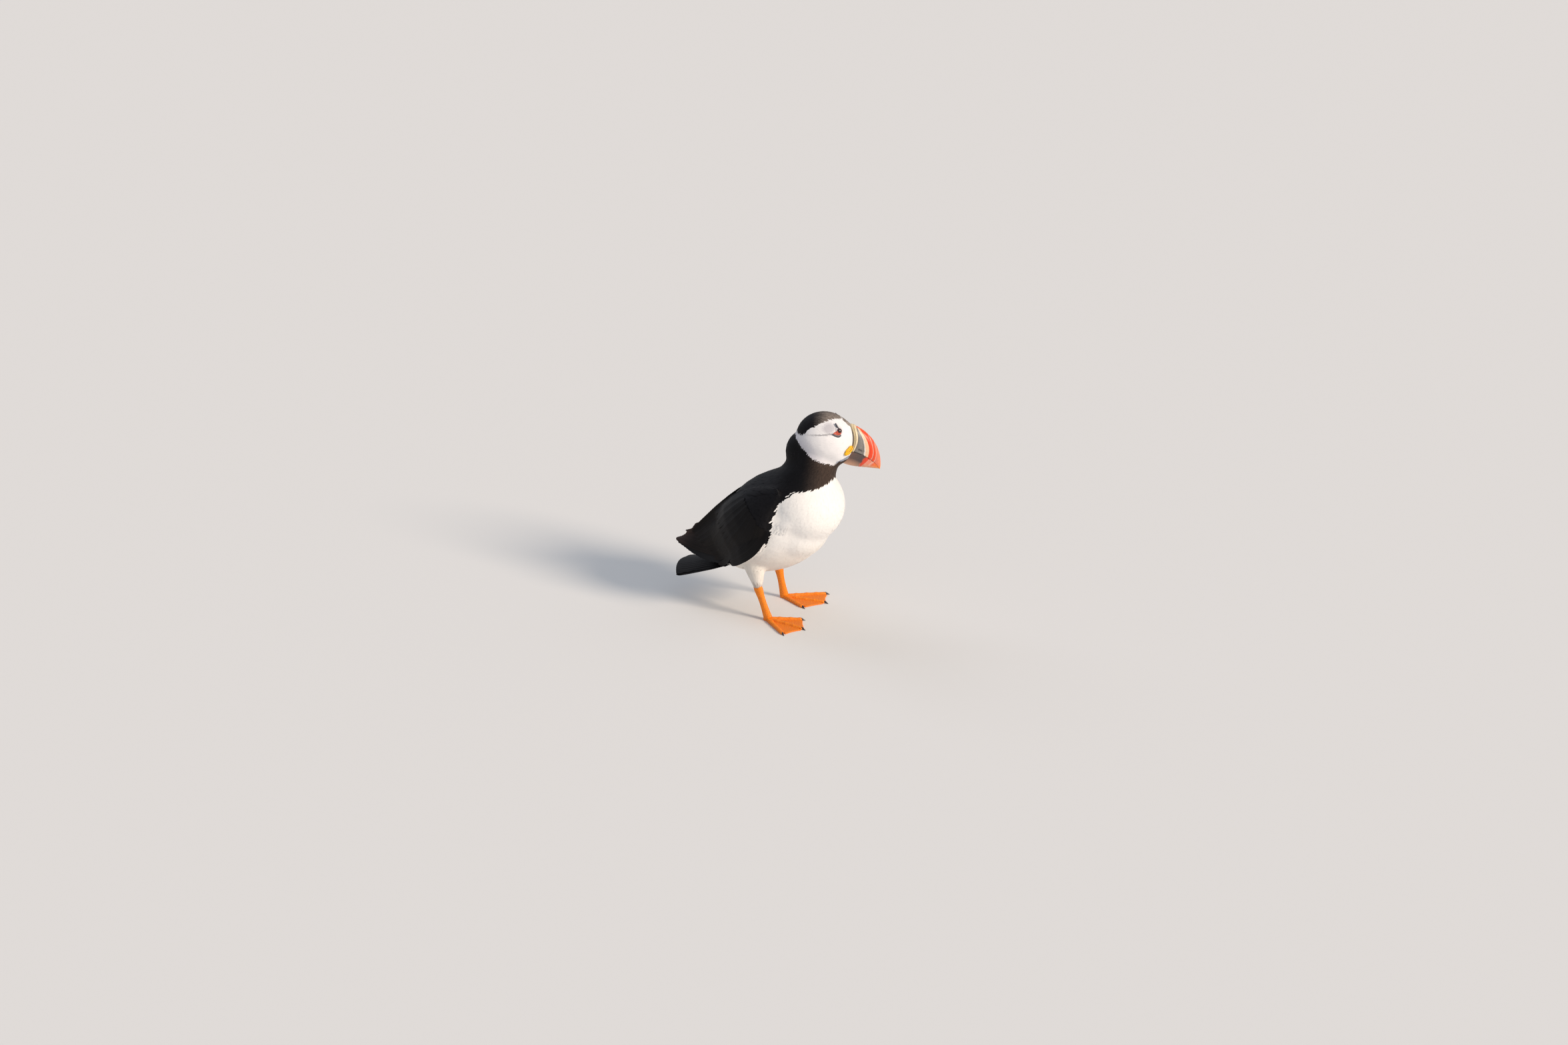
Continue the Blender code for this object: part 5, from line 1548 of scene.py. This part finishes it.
def eye_pad(part, word):
    """A low pad with this outline, which lies on the eyeball's rim and the cheek."""
    centre, out, back, up = eye_axes(word)
    height, outline = PADS[part]
    corners = np.array(outline + outline[:1])
    steps = 1 + np.linspace(0, len(corners) - 1, PAD_POINTS, endpoint=False)
    edge = path_at(np.concatenate([corners[-2:-1], corners, corners[1:2]]), steps / (len(corners) + 1))
    spot = edge.mean(0)
    rings = []
    for share, rise in PAD_PROFILE:
        ring = spot + (edge - spot) * share
        places = centre + (back * ring[:, :1] + up * ring[:, 1:]) * MM
        levels = lid_level(np.hypot(*ring.T), LID_INNER) * MM
        for place, level in zip(places, levels):
            hit = skin_tree.ray_cast(Vector(place + out * 0.012), -Vector(out), 0.02)[0]
            place += out * (max((np.array(hit) - place) @ out, level) + rise * height * MM)
        rings.append(places)
    if part == "lid_fold":
        mesh = tube(f"{part}_{word}", np.array(rings))
        keep_value(mesh, "tone", np.tile(rgb(LID_TONES["fold"]), (len(mesh.vertices), 1)))
        show(f"{part}_{word}", mesh, lid_skin)
    else:
        mesh = tube(f"{part}_horn_{word}", np.array(rings))
        show(f"{part}_horn_{word}", mesh, slate, [f"{part}_{word}"])


for part in PADS:
    for word in SIDES:
        eye_pad(part, word)
print("pads on each side:", list(PADS))

# %% Rosettes
ROSETTE_TILT = 36  # degrees by which the folds rise from level
ROSETTE_VOXEL, ROSETTE_GROWN = 0.16, 0.15  # mm
ROSETTE_FOLD, ROSETTE_MOUTH = 0.16, 0.45  # mm: height of the folds, depth of the crease between the lips
# the first tone is painted shade in the creases, the second the folds' own yellow
ROSETTE_TONES = ("#b85f04", "#ffc814")  # in the creases, and on the folds


def shaded(dark, bright, share):
    """Colours from a dark to a bright one, by a share at each point."""
    dark, bright = rgb(dark), rgb(bright)
    share = np.clip(share, 0, 1)[:, None]
    return dark * (1 - share) + bright * share


# waxy wrinkled skin, which lets more light through than horn does; the darker orange of its creases is
# painted shade
rosette_skin = soft_skin_finish("wrinkled_gape_skin", 0.7, Subsurface_Weight=0.15, Subsurface_Scale=0.0015)
for word in SIDES:
    points, faces = refined(f"rosette_{word}", ROSETTE_VOXEL, 6, ROSETTE_GROWN)
    local = read_head(points)
    _, ahead, up = (local - local.mean(0)).T
    tilt = radians(ROSETTE_TILT)
    along = ahead * cos(tilt) + up * sin(tilt)
    over = -ahead * sin(tilt) + up * cos(tilt)
    bend = over - 0.045 * along**2
    fold = np.sin(bend * 3.4 + 0.5 * np.sin(along * 1.1)) * (0.5 + 0.5 * ramp(np.abs(over), 0.3, 1.2))
    mouth = np.exp(-((bend + 0.2) / 0.32) ** 2) * ramp(along, -1.5, 0.5)
    ups = smooth_normals(points, faces, 2)
    points = points + ups * ((ROSETTE_FOLD * fold - ROSETTE_MOUTH * mouth)[:, None] * MM)
    mesh = mesh_from("rosette", points, faces)
    # the creases of the folds and the crease between the lips are painted darker, as painted shade
    keep_value(mesh, "tone", shaded(*ROSETTE_TONES, 0.78 + 0.22 * fold - 1.1 * mouth))
    show(f"rosette_folds_{word}", mesh, rosette_skin, [f"rosette_{word}"])
print("rosettes:", len(points), "points each")

# %% [markdown]
# ## Legs and feet
# Bare legs are covered by scutes: broad plates in front of the shank and on top of each
# toe, small round scales elsewhere, and fine creases in the web. The shank is lofted
# with its scutes as relief. The foot is remeshed finely from its solid, and its points
# are raised by how far along each toe they lie.

# %% Shanks
LEG_POINTS = {
    "right": {"ankle": (-28, -5, 29), "heel": (-30, 4.5, 5), "turn": 15},
    "left": {"ankle": (28, -7, 29), "heel": (30, -3, 5), "turn": 0},
}
SHANK_RADII = (2.5, 3.7)  # mm, side to side, and fore and aft
SHANK_GRID = (110, 64)  # points down the shank and round it
INTO_THIGH, INTO_FOOT = 3.5, 3.0  # mm by which the shank runs on past its ankle and heel
SCUTE, SCALE, SCALES_ROUND = 1.9, 1.25, 14  # mm high in front; mm high elsewhere, and how many go round
SCUTE_RISE = 0.20  # mm
# the first tone is painted shade in the grooves between scales, the second the plates' own orange
LEG_TONES = ("#d04a00", "#ff9210")  # in the grooves, and on the plates

# waxy skin that glows a little from within; its scales are real relief with painted shade in their grooves,
# and the nodes add only its grain
leg_skin = soft_skin_finish("scaled_leg_skin", 0.9, Subsurface_Weight=0.12, Subsurface_Scale=0.0015)


def cells(u, v):
    """Relief of rounded plates in staggered rows: 1 in the middle of a plate, 0 in the grooves."""
    x = (u + 0.5 * (np.floor(v) % 2)) % 1
    y = v % 1
    return np.clip(np.minimum(np.minimum(x, 1 - x), np.minimum(y, 1 - y)) * 7, 0, 1) ** 0.6


def shank(word):
    """One bare shank with its scutes."""
    leg = LEG_POINTS[word]
    ankle, heel = on_body(leg["ankle"]), on_body(leg["heel"])
    axis = (heel - ankle) / np.linalg.norm(heel - ankle)
    top = ankle - axis * INTO_THIGH * MM
    length = np.linalg.norm(heel - top) / MM + INTO_FOOT
    across = unit(np.array((1.0, 0, 0)) - axis * axis[0])
    fore = np.cross(axis, across)
    fore = fore * (1 if fore[1] < 0 else -1)
    s = np.linspace(0, 1, SHANK_GRID[0])
    turn = np.linspace(0, 2 * pi, SHANK_GRID[1], endpoint=False)
    swell = 1.0 + 0.16 * bump_at(s, 0.12, 0.14) - 0.10 * bump_at(s, 0.5, 0.25) + 0.14 * bump_at(s, 1.0, 0.16)
    rings = ((top + axis * (s * length * MM)[:, None])[:, None]
             + (across * (SHANK_RADII[0] * MM * np.cos(turn))[:, None]
                + fore * (SHANK_RADII[1] * MM * np.sin(turn))[:, None])[None] * swell[:, None, None])
    front = ramp(np.sin(turn), 0.35, 0.6)[None]
    down_leg = (s * length)[:, None]
    plates = cells(turn[None] / pi + 0.5, down_leg / SCUTE)
    scales = cells(turn[None] / (2 * pi) * SCALES_ROUND, down_leg / SCALE)
    height = plates * front + scales * (1 - front)
    mesh = tube("shank_scales_" + word, rings, SCUTE_RISE * height - SCUTE_RISE / 2)
    # the grooves between the scales are painted darker, as painted shade
    keep_value(mesh, "tone", shaded(*LEG_TONES, with_ends(height) * 0.75 + 0.2))
    show("shank_scales_" + word, mesh, leg_skin, ["shank_" + word])


print("a scute is", SCUTE, "mm high")

# %% [markdown]
# ### Feet
# Three toes carry a row of scutes each, with a knuckle at every joint, and the web
# between them is thin skin with fine creases. Each point of the foot finds its nearest
# toe, and how far along and beside it that point lies says which relief it gets.

# %% Feet
TOES = (-35, 0, 32)  # degrees outwards from the middle toe
FOOT_VOXEL = 0.42  # mm
TOE_BREADTH = 2.1  # mm from a toe's middle to its edge
TOE_SCUTE = (3.6, 1.5)  # mm across and along the toe
KNUCKLES = (12, 22, 31)  # mm from the heel
SCUTE_ON_TOE, KNUCKLE_RISE, CREASE_RISE = 0.20, 0.35, 0.09  # mm
WEB_STRETCH = 0.13  # by which the web's free edge runs on, to lie nearly straight between the toes


def foot(word):
    """One webbed foot with scutes along its toes and creases in its web."""
    leg = LEG_POINTS[word]
    points, faces = refined("foot_" + word, FOOT_VOXEL, 3)
    local = read_body(points)
    heel = np.array(leg["heel"], float)
    nearest, down_toe, sideways = np.full(len(points), 99.0), np.zeros(len(points)), np.zeros(len(points))
    for angle in TOES:
        way = radians(leg["turn"] + angle)
        way = np.array((SIDES[word] * sin(way), cos(way)))
        offset = local[:, :2] - heel[:2]
        along = offset @ way
        beside = offset[:, 0] * way[1] - offset[:, 1] * way[0]
        gap = np.where(along < 0, np.hypot(along, beside), np.abs(beside))
        closer = gap < nearest
        found = (gap, nearest), (along, down_toe), (beside, sideways)
        nearest, down_toe, sideways = (np.where(closer, new, old) for new, old in found)
    ups = smooth_normals(points, faces, 1)
    top = ramp(local[:, 2], 0.5, 1.2)
    on_toe = 1 - ramp(nearest, TOE_BREADTH - 0.4, TOE_BREADTH + 0.5)
    scutes = cells(sideways / TOE_SCUTE[0] + 0.5, down_toe / TOE_SCUTE[1])
    crease = np.sin(down_toe * 2.6 + 1.4 * np.sin(sideways * 0.9)) * np.sin(sideways * 1.9 + down_toe * 0.35)
    knuckle = sum(bump_at(down_toe, place, 1.6) for place in KNUCKLES)
    relief = (SCUTE_ON_TOE * scutes + KNUCKLE_RISE * knuckle) * on_toe + CREASE_RISE * crease * (1 - on_toe)
    points = points + ups * (relief * top)[:, None] * MM
    from_heel = (local - heel) * (1, 1, 0)
    stretch = WEB_STRETCH * ramp(np.linalg.norm(from_heel, axis=1), 14, 30) * (1 - on_toe)
    points = points + from_heel * FLIP * stretch[:, None] * MM
    mesh = mesh_from("foot_scales_" + word, points, faces)
    # the grooves between the toes' scutes and the troughs of the web's creases are painted darker, as painted
    # shade
    bright = (0.30 + 0.62 * scutes) * on_toe + (0.66 + 0.14 * crease) * (1 - on_toe)
    keep_value(mesh, "tone", shaded(*LEG_TONES, bright))
    show("foot_scales_" + word, mesh, leg_skin, ["foot_" + word])


print("toes on each foot:", len(TOES))

# %% Claws
CLAW_SHORTENED, CLAW_HOOK = 0.72, 1.3  # worn to this share of its length, and bent down by this many mm
# keratin worn smooth on rock: dark, with a satin gloss
claw_horn = mottled_horn("worn_claw_keratin", 0.6, 4.0, "#1d1a1c", "#4b4447", Roughness=0.35)


def claw(toe, word):
    """One claw, blunter and more hooked than its solid."""
    node = f"claw_{toe}_{word}"
    smooth = through(solid_copy([node]), ("SUBSURF", {"levels": 2, "render_levels": 2}))
    points = points_of(smooth)
    way = unit((points.mean(0) - on_body(LEG_POINTS[word]["heel"])) * (1, 1, 0))
    along = points @ way
    share = (along - along.min()) / np.ptp(along)
    points = points - way * ((along - along.min()) * (1 - CLAW_SHORTENED) * ramp(share, 0.1, 0.6))[:, None]
    points[:, 2] = np.maximum(points[:, 2] - CLAW_HOOK * share**2.5 * MM, 0.05 * MM * (1 - share))
    mesh = mesh_from(node, points, triangles_of(smooth))
    show(f"claw_horn_{toe}_{word}", mesh, claw_horn, [node])


for word in SIDES:
    shank(word)
    foot(word)
    for toe in ("inner", "middle", "outer"):
        claw(toe, word)
